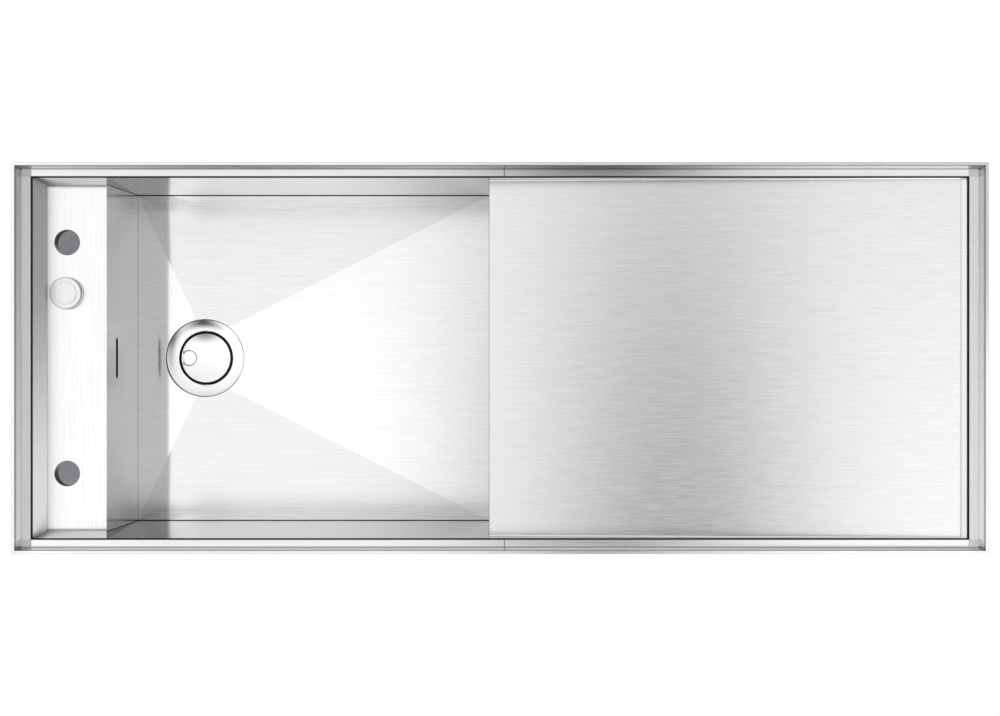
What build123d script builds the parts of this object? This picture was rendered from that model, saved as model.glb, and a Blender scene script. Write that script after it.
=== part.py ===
from build123d import *
import math
import os

# Flush-mounted kitchen sink with a tap shelf, a bowl with a hipped floor and a sloped drainer.
# Millimetres. +X points to the drainer end, +Y to the rear, and Z = 0 is the top of the rim.

# Sheet and general clearances
SHEET = 1.2
CUT = 1.0
CURVE_GAP = 0.3
RUNNING_GAP = 0.1
SEAT_GAP = 0.05

# Rim: flange, drafted step and ledge, with a black trim hooked over the ledge's inner edge
LENGTH = 1276.8
WIDTH = 511.6
FLANGE = 4.2
STEP_DEPTH = 16.0
STEP_DRAFT = 2.1
LEDGE_END = 13.9
LEDGE_SIDE = 10.3
SEAM_OFFSET = 20.7
STRIP_SEAT = 0.4
STRIP_OVERHANG = 1.4
STRIP_HEIGHT = 1.6

# Tap recess at the left end
SHELF_LENGTH = 85.1
SHELF_DEPTH = 58.6
RECESS_DRAFT = 4.8
CORNER_FOLD = 14.0
TAP_LINE = 31.8
TAP_SPACING = 313.0
TAP_HOLE_RADIUS = 17.5
TAP_HOLE_DEPTH = 15.0
COLLAR_WALL = 5.0

# Bowl with its hipped floor, and the slot of the overflow
BOWL_LENGTH = 518.2
BOWL_DEPTH = 200.0
FLOOR_FALL = 9.0
VALLEY_LENGTH = 57.0
WASTE_OFFSET = 97.0
SLOT_LENGTH = 55.0
SLOT_HEIGHT = 7.5
SLOT_DEPTH = 103.0

# Drainer: depth below the rim beside the bowl and at the far end
DRAINER_LOW = 39.5
DRAINER_HIGH = 21.0
STIFFENER_COUNT = 3
STIFFENER_WIDTH = 30.0
STIFFENER_HEIGHT = 16.0
STIFFENER_INSET = 40.0

# Sound-deadening pads on the hidden faces
PAD = 2.5
PAD_MARGIN = 20.0
PAD_WIDTH = 300.0
PAD_HEIGHT = 90.0
FLOOR_PAD_WIDTH = 110.0
FLOOR_PAD_START = 100.0

# Earth tag on the bowl's right panel
TAG_WIDTH = 20.0
TAG_HEIGHT = 26.0
TAG_HOLE_RADIUS = 2.6

# Clips that hold the sink in the worktop
CLIP_COUNT = 4
CLIP_INSET = 140.0
CLIP_WIDTH = 24.0
CLIP_SHEET = 2.0
CLIP_GAP = 0.6
CLAW_WIDTH = 16.0
CLAW_THICKNESS = 4.0
CLAW_DROP = 18.0
CLAW_TIP = 3.0
CLAW_TIP_HEIGHT = 5.0
CLAW_REACH_INSET = 1.0
CLIP_SCREW_RADIUS = 2.0
CLIP_SCREW_TAIL = 14.0
CLIP_HEAD_RADIUS = 3.2
CLIP_HEAD_HEIGHT = 5.0

# Control knob and its drive below the shelf
KNOB_LINE = 32.7
KNOB_Y = 87.5
KNOB_RADIUS = 21.2
KNOB_HEIGHT = 10.4
KNOB_LIFT = 0.6
KNOB_TOP = 4.4
KNOB_SKIRT = 2.4
KNOB_ROUND = 1.2
KNOB_DISC_RADIUS = 15.0
KNOB_DISC_HEIGHT = 0.5
KNOB_BASE_RADIUS = 18.0
KNOB_BASE_HEIGHT = 2.5
BUSH_FLANGE_RADIUS = 14.0
BUSH_FLANGE = 1.5
BUSH_RADIUS = 9.0
SPINDLE_RADIUS = 5.0
SPINDLE_SOCKET = 3.0
KNOB_NUT_HEIGHT = 6.0
KNOB_NUT_FLATS = 27.0
HOUSING_RADIUS = 24.0
HOUSING_WALL = 2.5
HOUSING_TOP = 24.0
HOUSING_HEIGHT = 26.0
HOUSING_COLLAR = 10.0
HOUSING_COLLAR_WALL = 4.0
PULLEY_RADIUS = 18.0
PULLEY_HEIGHT = 10.0
PULLEY_GROOVE = 2.5
GLAND_BOSS = 16.0
GLAND_BOSS_OUT = 6.0
GLAND_FLATS = 12.0
GLAND_HEAD = 6.0
GLAND_TUBE_RADIUS = 3.5
GLAND_LENGTH = 16.0
GLAND_BORE_RADIUS = 1.8

# Waste flange, seated in a round recess of the bowl floor
FLANGE_RADIUS = 57.1
FLANGE_EDGE = 4.2
FLANGE_EDGE_ROUND = 0.8
DISH_SAG = 0.5
RECESS_GAP = 0.6
SEAT_DROP = 4.5
FLOOR_HOLE_RADIUS = 44.0
GASKET_UPPER = 1.0
GASKET_LOWER = 3.0
GASKET_INSET = 1.0
NECK_RADIUS = 42.5
NECK_LENGTH = 32.0
THROAT_RADIUS = 40.0
THROAT_LIP = 0.6
SEAT_WIDTH = 2.5

# Plug with its seal, finger pocket, stem and strainer basket
PLUG_RADIUS = 36.0
PLUG_TOP = 0.2
PLUG_DISH = 3.0
PLUG_SHOULDER = 8.0
PLUG_HUB_RADIUS = 30.0
PLUG_HUB = 3.0
POCKET_RADIUS = 10.6
POCKET_OFFSET = 26.0
POCKET_FLARE = 2.6
POCKET_DEPTH = 6.4
SEAL_DROP = 0.3
BASKET_FLANGE = 1.4
BASKET_WALL = 1.0
BASKET_DEPTH = 20.0
BASKET_TAPER = 2.0
BASKET_SLOTS = 12
BASKET_SLOT_WIDTH = 6.0
BASKET_SLOT_HEIGHT = 12.0
BASKET_HOLES = 10
BASKET_HOLE_RADIUS = 2.6
BASKET_HOLE_CIRCLE = 21.0
STEM_RADIUS = 4.0
STEM_BOTTOM = 34.0

# Waste body below the floor: collar, cup and overflow port, with a lift guide and a threaded outlet
BODY_FLANGE_RADIUS = 58.0
BODY_FLANGE = 4.0
CUP_RADIUS = 48.0
CUP_WALL = 3.0
CUP_DEPTH = 84.0
OUTLET_PLATE = 4.0
OUTLET_UPSTAND = 6.0
OUTLET_RADIUS = 23.9
OUTLET_WALL = 3.9
OUTLET_LENGTH = 24.0
GUIDE_RADIUS = 8.0
GUIDE_TOP = 44.0
GUIDE_HEIGHT = 12.0
GUIDE_ARMS = 3
GUIDE_ARM_WIDTH = 3.0
GUIDE_RING = 2.0
GUIDE_LEDGE = 1.0
PORT_DROP = 50.0
PORT_LENGTH = 26.0

# Lift pin and the rocker that raises it
LIFT = 8.0
ROCKER_ARM = 24.0
ROCKER_DROP = 68.0
ROCKER_TIP_RADIUS = 4.0
ROCKER_FINGER = 4.0
ROCKER_WIDTH = 8.0
ROCKER_HUB_RADIUS = 7.0
ROCKER_SHAFT_RADIUS = 4.0
ROCKER_BOSS_RADIUS = 9.0
ROCKER_BOSS_END = 52.0
ROCKER_SHAFT_START = 10.0
SHAFT_GLAND = 6.0
SHAFT_GLAND_FLATS = 17.0
BRACKET = 2.0
BRACKET_REACH = 45.0
BRACKET_TAB = 18.0
BRACKET_TAB_HEIGHT = 16.0
BRACKET_HALF = 9.0
CRANK = 5.0
CRANK_GAP = 1.0
CRANK_ARM = 26.0
CRANK_EYE_RADIUS = 2.0
CRANK_END_RADIUS = 5.0

# Overflow: gasket, housing, studs, pipe and union nuts
OVERFLOW_GASKET = 2.0
OVERFLOW_GASKET_RIM = 6.0
OVERFLOW_FLANGE = 3.0
OVERFLOW_FLANGE_HALF_WIDTH = 52.0
OVERFLOW_FLANGE_HALF_HEIGHT = 20.0
OVERFLOW_BOX_DEPTH = 27.0
OVERFLOW_WALL = 2.5
STUD_RADIUS = 2.0
STUD_LENGTH = 14.0
STUD_OFFSET = 45.0
STUD_NUT_FLATS = 7.0
STUD_NUT_HEIGHT = 3.2
PIPE_RADIUS = 10.0
PIPE_WALL = 3.0
PIPE_BEND = 24.0
PIPE_INSERT = 13.0
SPIGOT_WALL = 2.7
SPIGOT_LENGTH = 22.0
UNION_FLATS = 30.0
UNION_LENGTH = 18.0
UNION_LIP = 3.0

# Angles and counts that never change
FULL_TURN = 360.0
HALF_TURN = 180.0
HEXAGON_SIDES = 6

# Worked-out levels and places
HALF_LENGTH = LENGTH / 2
HALF_WIDTH = WIDTH / 2
STEP_HALF_LENGTH = HALF_LENGTH - FLANGE
STEP_HALF_WIDTH = HALF_WIDTH - FLANGE
INNER_X = STEP_HALF_LENGTH - STEP_DRAFT - LEDGE_END
INNER_Y = STEP_HALF_WIDTH - STEP_DRAFT - LEDGE_SIDE
LEDGE_Z = -STEP_DEPTH
PANEL_TOP = LEDGE_Z - SHEET
SHELF_Z = -SHELF_DEPTH
SHELF_UNDER = SHELF_Z - SHEET
FLOOR_Z = -BOWL_DEPTH
BOWL_LEFT = SHELF_LENGTH - INNER_X
BOWL_RIGHT = BOWL_LEFT + BOWL_LENGTH
WASTE_X = BOWL_LEFT + WASTE_OFFSET
SEAM_X = BOWL_RIGHT + SEAM_OFFSET
VALLEY_Z = FLOOR_Z - FLOOR_FALL
FLOOR_SEAT_Z = VALLEY_Z - SEAT_DROP
LIP_Z = FLOOR_SEAT_Z + GASKET_UPPER
RECESS_RADIUS = FLANGE_RADIUS + RECESS_GAP
SLOT_Z = -SLOT_DEPTH
DRAINER_SLOPE = (DRAINER_LOW - DRAINER_HIGH) / (INNER_X - BOWL_RIGHT)
WASTE = Pos(WASTE_X, 0, LIP_Z)
KNOB = Pos(KNOB_LINE - INNER_X, KNOB_Y, SHELF_Z)

# Levels of the waste, measured from the underside of the flange's lip
FLOOR_UNDER = -GASKET_UPPER - SHEET
BODY_TOP = FLOOR_UNDER - GASKET_LOWER
SEAL_RADIUS = THROAT_RADIUS - CURVE_GAP
SEAL_SEAT = -PLUG_SHOULDER - CURVE_GAP
CUP_INNER = CUP_RADIUS - CUP_WALL
CUP_LOWER = CUP_INNER - GUIDE_LEDGE
GUIDE_BOTTOM = -GUIDE_TOP - GUIDE_HEIGHT
ROCKER_Z = -ROCKER_DROP
ROCKER_SWING = math.degrees(math.asin(LIFT / 2 / ROCKER_ARM))
PIN_BOTTOM = ROCKER_Z + ROCKER_TIP_RADIUS - LIFT / 2 + CURVE_GAP
ROCKER = WASTE * Pos(-ROCKER_ARM, 0, ROCKER_Z)
PORT_END = CUP_RADIUS + PORT_LENGTH

# Places of the overflow behind the bowl's left panel
PANEL_BACK = BOWL_LEFT - SHEET
OVERFLOW_FACE = PANEL_BACK - OVERFLOW_GASKET
OVERFLOW_BOX = OVERFLOW_FACE - OVERFLOW_FLANGE
PIPE_X = OVERFLOW_BOX - OVERFLOW_BOX_DEPTH / 2
PORT_Z = LIP_Z - PORT_DROP
SPIGOT_INNER = PIPE_RADIUS + CURVE_GAP
SPIGOT_RADIUS = SPIGOT_INNER + SPIGOT_WALL
SPIGOT_TOP = SLOT_Z - OVERFLOW_FLANGE_HALF_HEIGHT
SPIGOT_END = SPIGOT_TOP - SPIGOT_LENGTH


def block(x, y, z):
    """Box between two limits on each axis."""
    centre = Pos((x[0] + x[1]) / 2, (y[0] + y[1]) / 2, (z[0] + z[1]) / 2)
    return centre * Box(x[1] - x[0], y[1] - y[0], z[1] - z[0])


def disc(radius, bottom, top):
    """Upright cylinder between two heights."""
    return Pos(0, 0, bottom) * Cylinder(radius, top - bottom, align=(Align.CENTER, Align.CENTER, Align.MIN))


def ring(inner, outer, bottom, top):
    """Upright tube between two heights."""
    return disc(outer, bottom, top) - disc(inner, bottom - CUT, top + CUT)


def hexagon(flats, bottom, top):
    """Upright hexagonal bar between two heights."""
    outline = RegularPolygon(flats / 2, HEXAGON_SIDES, major_radius=False)
    return extrude(Pos(0, 0, bottom) * outline, top - bottom)


def turned(edges):
    """Solid of revolution about the Z axis from the edges of a half section."""
    return revolve(Plane.XZ * make_face(edges), Axis.Z)


def sheet(corners, direction, thickness=SHEET):
    """Flat sheet whose visible face has these corners, thickened along a direction."""
    return extrude(make_face(Polyline(*corners, close=True)), thickness, dir=direction)


def group(shapes):
    """One part made of several separate solids."""
    return Compound([solid for shape in shapes for solid in shape.solids()])


def front_of(part):
    """Mirror image of a rear piece."""
    return mirror(part, Plane.XZ)


def around(count):
    """Equal turns about the Z axis, the first of them none."""
    return [Rot(0, 0, FULL_TURN * i / count) for i in range(count)]


# Axes turned from upright: along +Y, along -Y, along -X and along +X
ALONG_Y = Rot(-90, 0, 0)
ALONG_FRONT = Rot(90, 0, 0)
ALONG_LEFT = Rot(0, -90, 0)
ALONG_RIGHT = Rot(0, 90, 0)


# Rim
def step_well(top, bottom, grow):
    """Block with the draft of the step between two heights, grown outwards."""
    outlines = []
    for z in (bottom, top):
        side = grow + STEP_DRAFT * z / STEP_DEPTH
        outline = Rectangle(2 * (STEP_HALF_LENGTH + side), 2 * (STEP_HALF_WIDTH + side))
        outlines.append(Pos(0, 0, z) * outline)
    return loft(outlines, ruled=True)


def rim_ring():
    flange = block((-HALF_LENGTH, HALF_LENGTH), (-HALF_WIDTH, HALF_WIDTH), (-SHEET, 0))
    shell = flange + step_well(0, PANEL_TOP, SHEET) - step_well(CUT, LEDGE_Z, 0)
    return shell - block((-INNER_X, INNER_X), (-INNER_Y, INNER_Y), (PANEL_TOP - CUT, CUT))


RIM = rim_ring()


def rail(x, y):
    """Length of the rim between limits in plan."""
    return RIM & block(x, y, (PANEL_TOP - CUT, CUT))


def ledge_strips():
    """Four trims that lie on the ledge's inner edge and hook down over it."""
    outer_x = INNER_X + STRIP_SEAT
    outer_y = INNER_Y + STRIP_SEAT
    inner_x = INNER_X - STRIP_OVERHANG
    inner_y = INNER_Y - STRIP_OVERHANG
    top = LEDGE_Z + STRIP_HEIGHT
    frame = block((-outer_x, outer_x), (-outer_y, outer_y), (LEDGE_Z, top))
    frame += block((-INNER_X, INNER_X), (-INNER_Y, INNER_Y), (PANEL_TOP, LEDGE_Z))
    frame -= block((-inner_x, inner_x), (-inner_y, inner_y), (PANEL_TOP - CUT, top + CUT))
    end = frame & block((inner_x, outer_x), (-outer_y, outer_y), (PANEL_TOP, top))
    side = frame & block((-inner_x, inner_x), (inner_y, outer_y), (PANEL_TOP, top))
    return group([end, mirror(end, Plane.YZ), side, front_of(side)])


# Tap recess
def recess_left_panel():
    low_x = RECESS_DRAFT - INNER_X
    low_y = INNER_Y - RECESS_DRAFT
    corners = [
        (-INNER_X, -INNER_Y, PANEL_TOP),
        (-INNER_X, INNER_Y, PANEL_TOP),
        (low_x, low_y, SHELF_Z),
        (low_x, -low_y, SHELF_Z),
    ]
    return sheet(corners, (-1, 0, 0))


def recess_rear_panel():
    """Sloping side that runs on past the shelf, with a tongue folded down the bowl's corner."""
    low_x = RECESS_DRAFT - INNER_X
    low_y = INNER_Y - RECESS_DRAFT
    fold_x = BOWL_LEFT + CORNER_FOLD
    over_shelf = (BOWL_LEFT, INNER_Y, PANEL_TOP)
    fold_top = (fold_x, INNER_Y, PANEL_TOP)
    shelf_corner = (BOWL_LEFT, low_y, SHELF_Z)
    floor_corner = (BOWL_LEFT, INNER_Y, FLOOR_Z)
    wall = sheet([(-INNER_X, INNER_Y, PANEL_TOP), over_shelf, shelf_corner, (low_x, low_y, SHELF_Z)], (0, 1, 0))
    run_on = sheet([over_shelf, fold_top, shelf_corner], (0, 1, 0))
    tongue = sheet([fold_top, shelf_corner, floor_corner], (0, 1, 0))
    corner = block((BOWL_LEFT, fold_x), (low_y, INNER_Y), (FLOOR_Z, PANEL_TOP))
    folded = (run_on + tongue) & corner
    return wall + folded


def tap_places():
    return [Pos(TAP_LINE - INNER_X, side * TAP_SPACING / 2, 0) for side in (-1, 1)]


def tap_shelf():
    outer_y = INNER_Y + SHEET
    shelf = block((-INNER_X - SHEET, BOWL_LEFT), (-outer_y, outer_y), (SHELF_UNDER, SHELF_Z))
    for place in tap_places():
        shelf -= place * disc(TAP_HOLE_RADIUS, SHELF_UNDER - CUT, SHELF_Z + CUT)
    return shelf - KNOB * disc(BUSH_RADIUS + RUNNING_GAP, -SHEET - CUT, CUT)


def tap_hole_collars():
    collar = ring(TAP_HOLE_RADIUS, TAP_HOLE_RADIUS + COLLAR_WALL, SHELF_Z - TAP_HOLE_DEPTH, SHELF_UNDER)
    return group([place * collar for place in tap_places()])


# Bowl
def bowl_left_panel():
    outer_y = INNER_Y + SHEET
    panel = block((PANEL_BACK, BOWL_LEFT), (-outer_y, outer_y), (FLOOR_Z - SHEET, SHELF_UNDER))
    slot = Plane.YZ.offset(PANEL_BACK - CUT) * Pos(0, SLOT_Z) * SlotOverall(SLOT_LENGTH, SLOT_HEIGHT)
    return panel - extrude(slot, SHEET + 2 * CUT)


def bowl_right_panel():
    outer_y = INNER_Y + SHEET
    corners = [
        (BOWL_RIGHT, -outer_y, FLOOR_Z - SHEET),
        (BOWL_RIGHT + SHEET, -outer_y, FLOOR_Z - SHEET),
        (BOWL_RIGHT + SHEET, -outer_y, drainer_z(BOWL_RIGHT + SHEET) - SHEET),
        (BOWL_RIGHT, -outer_y, drainer_z(BOWL_RIGHT) - SHEET),
    ]
    return sheet(corners, (0, 1, 0), 2 * outer_y)


def bowl_rear_panel():
    return block((BOWL_LEFT, BOWL_RIGHT), (INNER_Y, INNER_Y + SHEET), (FLOOR_Z - SHEET, PANEL_TOP))


def hip(thickness):
    """Floor folded as an inverted hip: four planes that fall to a short valley at the waste."""
    rear_left = (BOWL_LEFT, INNER_Y, FLOOR_Z)
    rear_right = (BOWL_RIGHT, INNER_Y, FLOOR_Z)
    front_left = (BOWL_LEFT, -INNER_Y, FLOOR_Z)
    front_right = (BOWL_RIGHT, -INNER_Y, FLOOR_Z)
    valley_rear = (WASTE_X, VALLEY_LENGTH / 2, VALLEY_Z)
    valley_front = (WASTE_X, -VALLEY_LENGTH / 2, VALLEY_Z)
    planes = [
        [rear_left, rear_right, valley_rear],
        [front_left, front_right, valley_front],
        [front_left, rear_left, valley_rear, valley_front],
        [front_right, rear_right, valley_rear, valley_front],
    ]
    solids = [sheet(corners, (0, 0, -1), thickness) for corners in planes]
    return solids[0].fuse(*solids[1:])


def bowl_floor():
    deep = FLOOR_FALL + SEAT_DROP + 2 * SHEET
    place = Pos(WASTE_X, 0, 0)
    cup = place * disc(RECESS_RADIUS + SHEET, FLOOR_SEAT_Z - SHEET, FLOOR_Z) & hip(deep)
    floor = hip(SHEET) + cup
    floor -= place * disc(RECESS_RADIUS, FLOOR_SEAT_Z, FLOOR_Z + CUT)
    return floor - place * disc(FLOOR_HOLE_RADIUS, FLOOR_SEAT_Z - SHEET - CUT, FLOOR_Z)


# Drainer
def drainer_z(x):
    """Height of the drainer's surface."""
    return -DRAINER_LOW + DRAINER_SLOPE * (x - BOWL_RIGHT)


def drainer_strip(x, y, drop):
    """Corners of a rectangle in plan, a drop below the drainer's surface."""
    plan = [(x[0], y[0]), (x[1], y[0]), (x[1], y[1]), (x[0], y[1])]
    return [(px, py, drainer_z(px) - drop) for px, py in plan]


def drainer_panel():
    outer_y = INNER_Y + SHEET
    return sheet(drainer_strip((BOWL_RIGHT, INNER_X + SHEET), (-outer_y, outer_y), 0), (0, 0, -1))


def drainer_rear_panel():
    corners = [
        (BOWL_RIGHT, INNER_Y, PANEL_TOP),
        (INNER_X, INNER_Y, PANEL_TOP),
        (INNER_X, INNER_Y, drainer_z(INNER_X)),
        (BOWL_RIGHT, INNER_Y, drainer_z(BOWL_RIGHT)),
    ]
    return sheet(corners, (0, 1, 0))


def drainer_end_panel():
    outer_x = INNER_X + SHEET
    outer_y = INNER_Y + SHEET
    corners = [
        (INNER_X, -outer_y, PANEL_TOP),
        (outer_x, -outer_y, PANEL_TOP),
        (outer_x, -outer_y, drainer_z(outer_x)),
        (INNER_X, -outer_y, drainer_z(INNER_X)),
    ]
    return sheet(corners, (0, 1, 0), 2 * outer_y)


STIFFENER_PITCH = (INNER_X - BOWL_RIGHT) / (STIFFENER_COUNT + 1)
STIFFENER_X = [BOWL_RIGHT + STIFFENER_PITCH * (i + 1) for i in range(STIFFENER_COUNT)]


def stiffener(x):
    """Channel across the drainer's underside, open towards the sheet."""
    y = (STIFFENER_INSET - INNER_Y, INNER_Y - STIFFENER_INSET)
    outer_x = (x - STIFFENER_WIDTH / 2, x + STIFFENER_WIDTH / 2)
    inner_x = (outer_x[0] + SHEET, outer_x[1] - SHEET)
    bottom = drainer_z(outer_x[0]) - SHEET - STIFFENER_HEIGHT
    channel = block(outer_x, y, (bottom, 0))
    channel -= block(inner_x, (y[0] - CUT, y[1] + CUT), (bottom + SHEET, CUT))
    return channel - sheet(drainer_strip(outer_x, y, SHEET), (0, 0, 1), DRAINER_LOW + STIFFENER_HEIGHT)


def drainer_stiffeners():
    return group([stiffener(x) for x in STIFFENER_X])


# Pads, tag and clips on the hidden side
def floor_pad():
    """Pad under the bowl floor's long plane."""
    x = (WASTE_X + FLOOR_PAD_START, BOWL_RIGHT - PAD_MARGIN)
    half = FLOOR_PAD_WIDTH / 2
    slope = FLOOR_FALL / (BOWL_RIGHT - WASTE_X)
    plan = [(x[0], -half), (x[1], -half), (x[1], half), (x[0], half)]
    corners = [(px, py, FLOOR_Z - SHEET - slope * (BOWL_RIGHT - px)) for px, py in plan]
    return sheet(corners, (0, 0, -1), PAD)


def sound_pads():
    clear = STIFFENER_WIDTH / 2 + PAD_MARGIN
    pads = [floor_pad()]
    for left, right in zip(STIFFENER_X, STIFFENER_X[1:]):
        area = drainer_strip((left + clear, right - clear), (-PAD_WIDTH / 2, PAD_WIDTH / 2), SHEET)
        pads.append(sheet(area, (0, 0, -1), PAD))
    middle_z = (FLOOR_Z + SHELF_Z) / 2
    middle_x = (BOWL_LEFT + BOWL_RIGHT) / 2
    wall = block(
        (middle_x - PAD_WIDTH / 2, middle_x + PAD_WIDTH / 2),
        (INNER_Y + SHEET, INNER_Y + SHEET + PAD),
        (middle_z - PAD_HEIGHT / 2, middle_z + PAD_HEIGHT / 2),
    )
    return group(pads + [wall, front_of(wall)])


def earth_tag():
    face = BOWL_RIGHT + SHEET
    middle_z = (FLOOR_Z - DRAINER_LOW) / 2
    y = (-TAG_WIDTH / 2, TAG_WIDTH / 2)
    tag = block((face, face + SHEET), y, (middle_z - TAG_HEIGHT / 2, middle_z + TAG_HEIGHT / 2))
    hole = Pos(face + SHEET + CUT, 0, middle_z) * ALONG_LEFT * disc(TAG_HOLE_RADIUS, 0, SHEET + 2 * CUT)
    return tag - hole


def clip_frames():
    """Places of the clips under the rear ledge, and the same turned round for the front."""
    span = 2 * (INNER_X - CLIP_INSET) / (CLIP_COUNT - 1)
    frames = []
    for i in range(CLIP_COUNT):
        x = CLIP_INSET - INNER_X + span * i
        frames.append(Pos(x, 0, PANEL_TOP))
        frames.append(Pos(x, 0, PANEL_TOP) * Rot(0, 0, HALF_TURN))
    return frames


CLIP_BACK = INNER_Y + SHEET + CLIP_GAP
CLIP_FRONT = STEP_HALF_WIDTH - STEP_DRAFT
CLIP_SCREW_Y = (CLIP_BACK + CLIP_SHEET + CLIP_FRONT) / 2
CLAW_TOP = -CLAW_DROP
CLAW_BOTTOM = CLAW_TOP - CLAW_THICKNESS


def clip_bracket():
    x = (-CLIP_WIDTH / 2, CLIP_WIDTH / 2)
    top = block(x, (CLIP_BACK, CLIP_FRONT), (-CLIP_SHEET, 0))
    return top + block(x, (CLIP_BACK, CLIP_BACK + CLIP_SHEET), (CLAW_BOTTOM, 0))


def clip_claw():
    x = (-CLAW_WIDTH / 2, CLAW_WIDTH / 2)
    end = HALF_WIDTH - CLAW_REACH_INSET
    bar = block(x, (CLIP_BACK + CLIP_SHEET, end), (CLAW_BOTTOM, CLAW_TOP))
    bar += block(x, (end - CLAW_TIP, end), (CLAW_BOTTOM, CLAW_TOP + CLAW_TIP_HEIGHT))
    hole = disc(CLIP_SCREW_RADIUS + RUNNING_GAP, CLAW_BOTTOM - CUT, CLAW_TOP + CUT)
    return bar - Pos(0, CLIP_SCREW_Y, 0) * hole


def clip_screw():
    shank = disc(CLIP_SCREW_RADIUS, CLAW_BOTTOM - CLIP_SCREW_TAIL, -CLIP_SHEET)
    head = disc(CLIP_HEAD_RADIUS, CLAW_BOTTOM - CLIP_HEAD_HEIGHT, CLAW_BOTTOM)
    return Pos(0, CLIP_SCREW_Y, 0) * (shank + head)


def at_clips(piece):
    return group([frame * piece for frame in clip_frames()])


# Control knob, in a frame whose zero is the top of the shelf
def control_knob():
    cap = disc(KNOB_RADIUS, KNOB_LIFT, KNOB_HEIGHT)
    cap = fillet(cap.edges().group_by(Axis.Z)[-1], KNOB_ROUND)
    cap += disc(KNOB_DISC_RADIUS, KNOB_HEIGHT, KNOB_HEIGHT + KNOB_DISC_HEIGHT)
    cap -= disc(KNOB_RADIUS - KNOB_SKIRT, KNOB_LIFT - CUT, KNOB_HEIGHT - KNOB_TOP)
    socket_top = KNOB_HEIGHT - KNOB_TOP + SPINDLE_SOCKET
    return KNOB * (cap - disc(SPINDLE_RADIUS + SEAT_GAP, KNOB_LIFT, socket_top))


def knob_base():
    return KNOB * ring(BUSH_FLANGE_RADIUS + CURVE_GAP, KNOB_BASE_RADIUS, 0, KNOB_BASE_HEIGHT)


def knob_bush():
    end = -HOUSING_TOP - HOUSING_WALL
    bush = disc(BUSH_FLANGE_RADIUS, 0, BUSH_FLANGE) + disc(BUSH_RADIUS, end, 0)
    return KNOB * (bush - disc(SPINDLE_RADIUS + RUNNING_GAP, end - CUT, BUSH_FLANGE + CUT))


def knob_nut():
    nut = hexagon(KNOB_NUT_FLATS, -SHEET - KNOB_NUT_HEIGHT, -SHEET)
    return KNOB * (nut - disc(BUSH_RADIUS + RUNNING_GAP, -SHEET - KNOB_NUT_HEIGHT - CUT, CUT))


HOUSING_BOTTOM = -HOUSING_TOP - HOUSING_HEIGHT
PULLEY_Z = -HOUSING_TOP - HOUSING_HEIGHT / 2
GLAND_FACE = -HOUSING_RADIUS - GLAND_BOSS_OUT
GLAND = KNOB * Pos(-PULLEY_RADIUS + PULLEY_GROOVE, 0, PULLEY_Z)


def knob_spindle():
    top = KNOB_HEIGHT - KNOB_TOP + SPINDLE_SOCKET
    return KNOB * disc(SPINDLE_RADIUS, PULLEY_Z - PULLEY_HEIGHT / 2, top)


def cable_pulley():
    half = PULLEY_HEIGHT / 2
    wheel = disc(PULLEY_RADIUS, -half, half)
    wheel -= Torus(PULLEY_RADIUS, PULLEY_GROOVE)
    wheel -= disc(SPINDLE_RADIUS + SEAT_GAP, -half - CUT, half + CUT)
    return KNOB * Pos(0, 0, PULLEY_Z) * wheel


def cable_housing():
    """Round can round the pulley, with a collar on the bush and a flat boss for the cable gland."""
    can = disc(HOUSING_RADIUS, HOUSING_BOTTOM, -HOUSING_TOP)
    can += disc(BUSH_RADIUS + HOUSING_COLLAR_WALL, -HOUSING_TOP, HOUSING_COLLAR - HOUSING_TOP)
    middle = PULLEY_GROOVE - PULLEY_RADIUS
    half = GLAND_BOSS / 2
    can += block(
        (middle - half, middle + half),
        (GLAND_FACE, 0),
        (PULLEY_Z - half, PULLEY_Z + half),
    )
    can -= disc(HOUSING_RADIUS - HOUSING_WALL, HOUSING_BOTTOM + HOUSING_WALL, -HOUSING_TOP - HOUSING_WALL)
    can -= disc(BUSH_RADIUS + RUNNING_GAP, -HOUSING_TOP - HOUSING_WALL - CUT, HOUSING_COLLAR)
    bore = Pos(middle, GLAND_FACE - CUT, PULLEY_Z) * ALONG_Y * disc(GLAND_BORE_RADIUS, 0, -GLAND_FACE)
    return KNOB * (can - bore)


def gland():
    """Cable gland with its seat at zero, pointing up."""
    body = hexagon(GLAND_FLATS, 0, GLAND_HEAD) + disc(GLAND_TUBE_RADIUS, GLAND_HEAD, GLAND_LENGTH)
    return body - disc(GLAND_BORE_RADIUS, -CUT, GLAND_LENGTH + CUT)


def control_gland():
    return GLAND * Pos(0, GLAND_FACE, 0) * ALONG_FRONT * gland()


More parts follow.
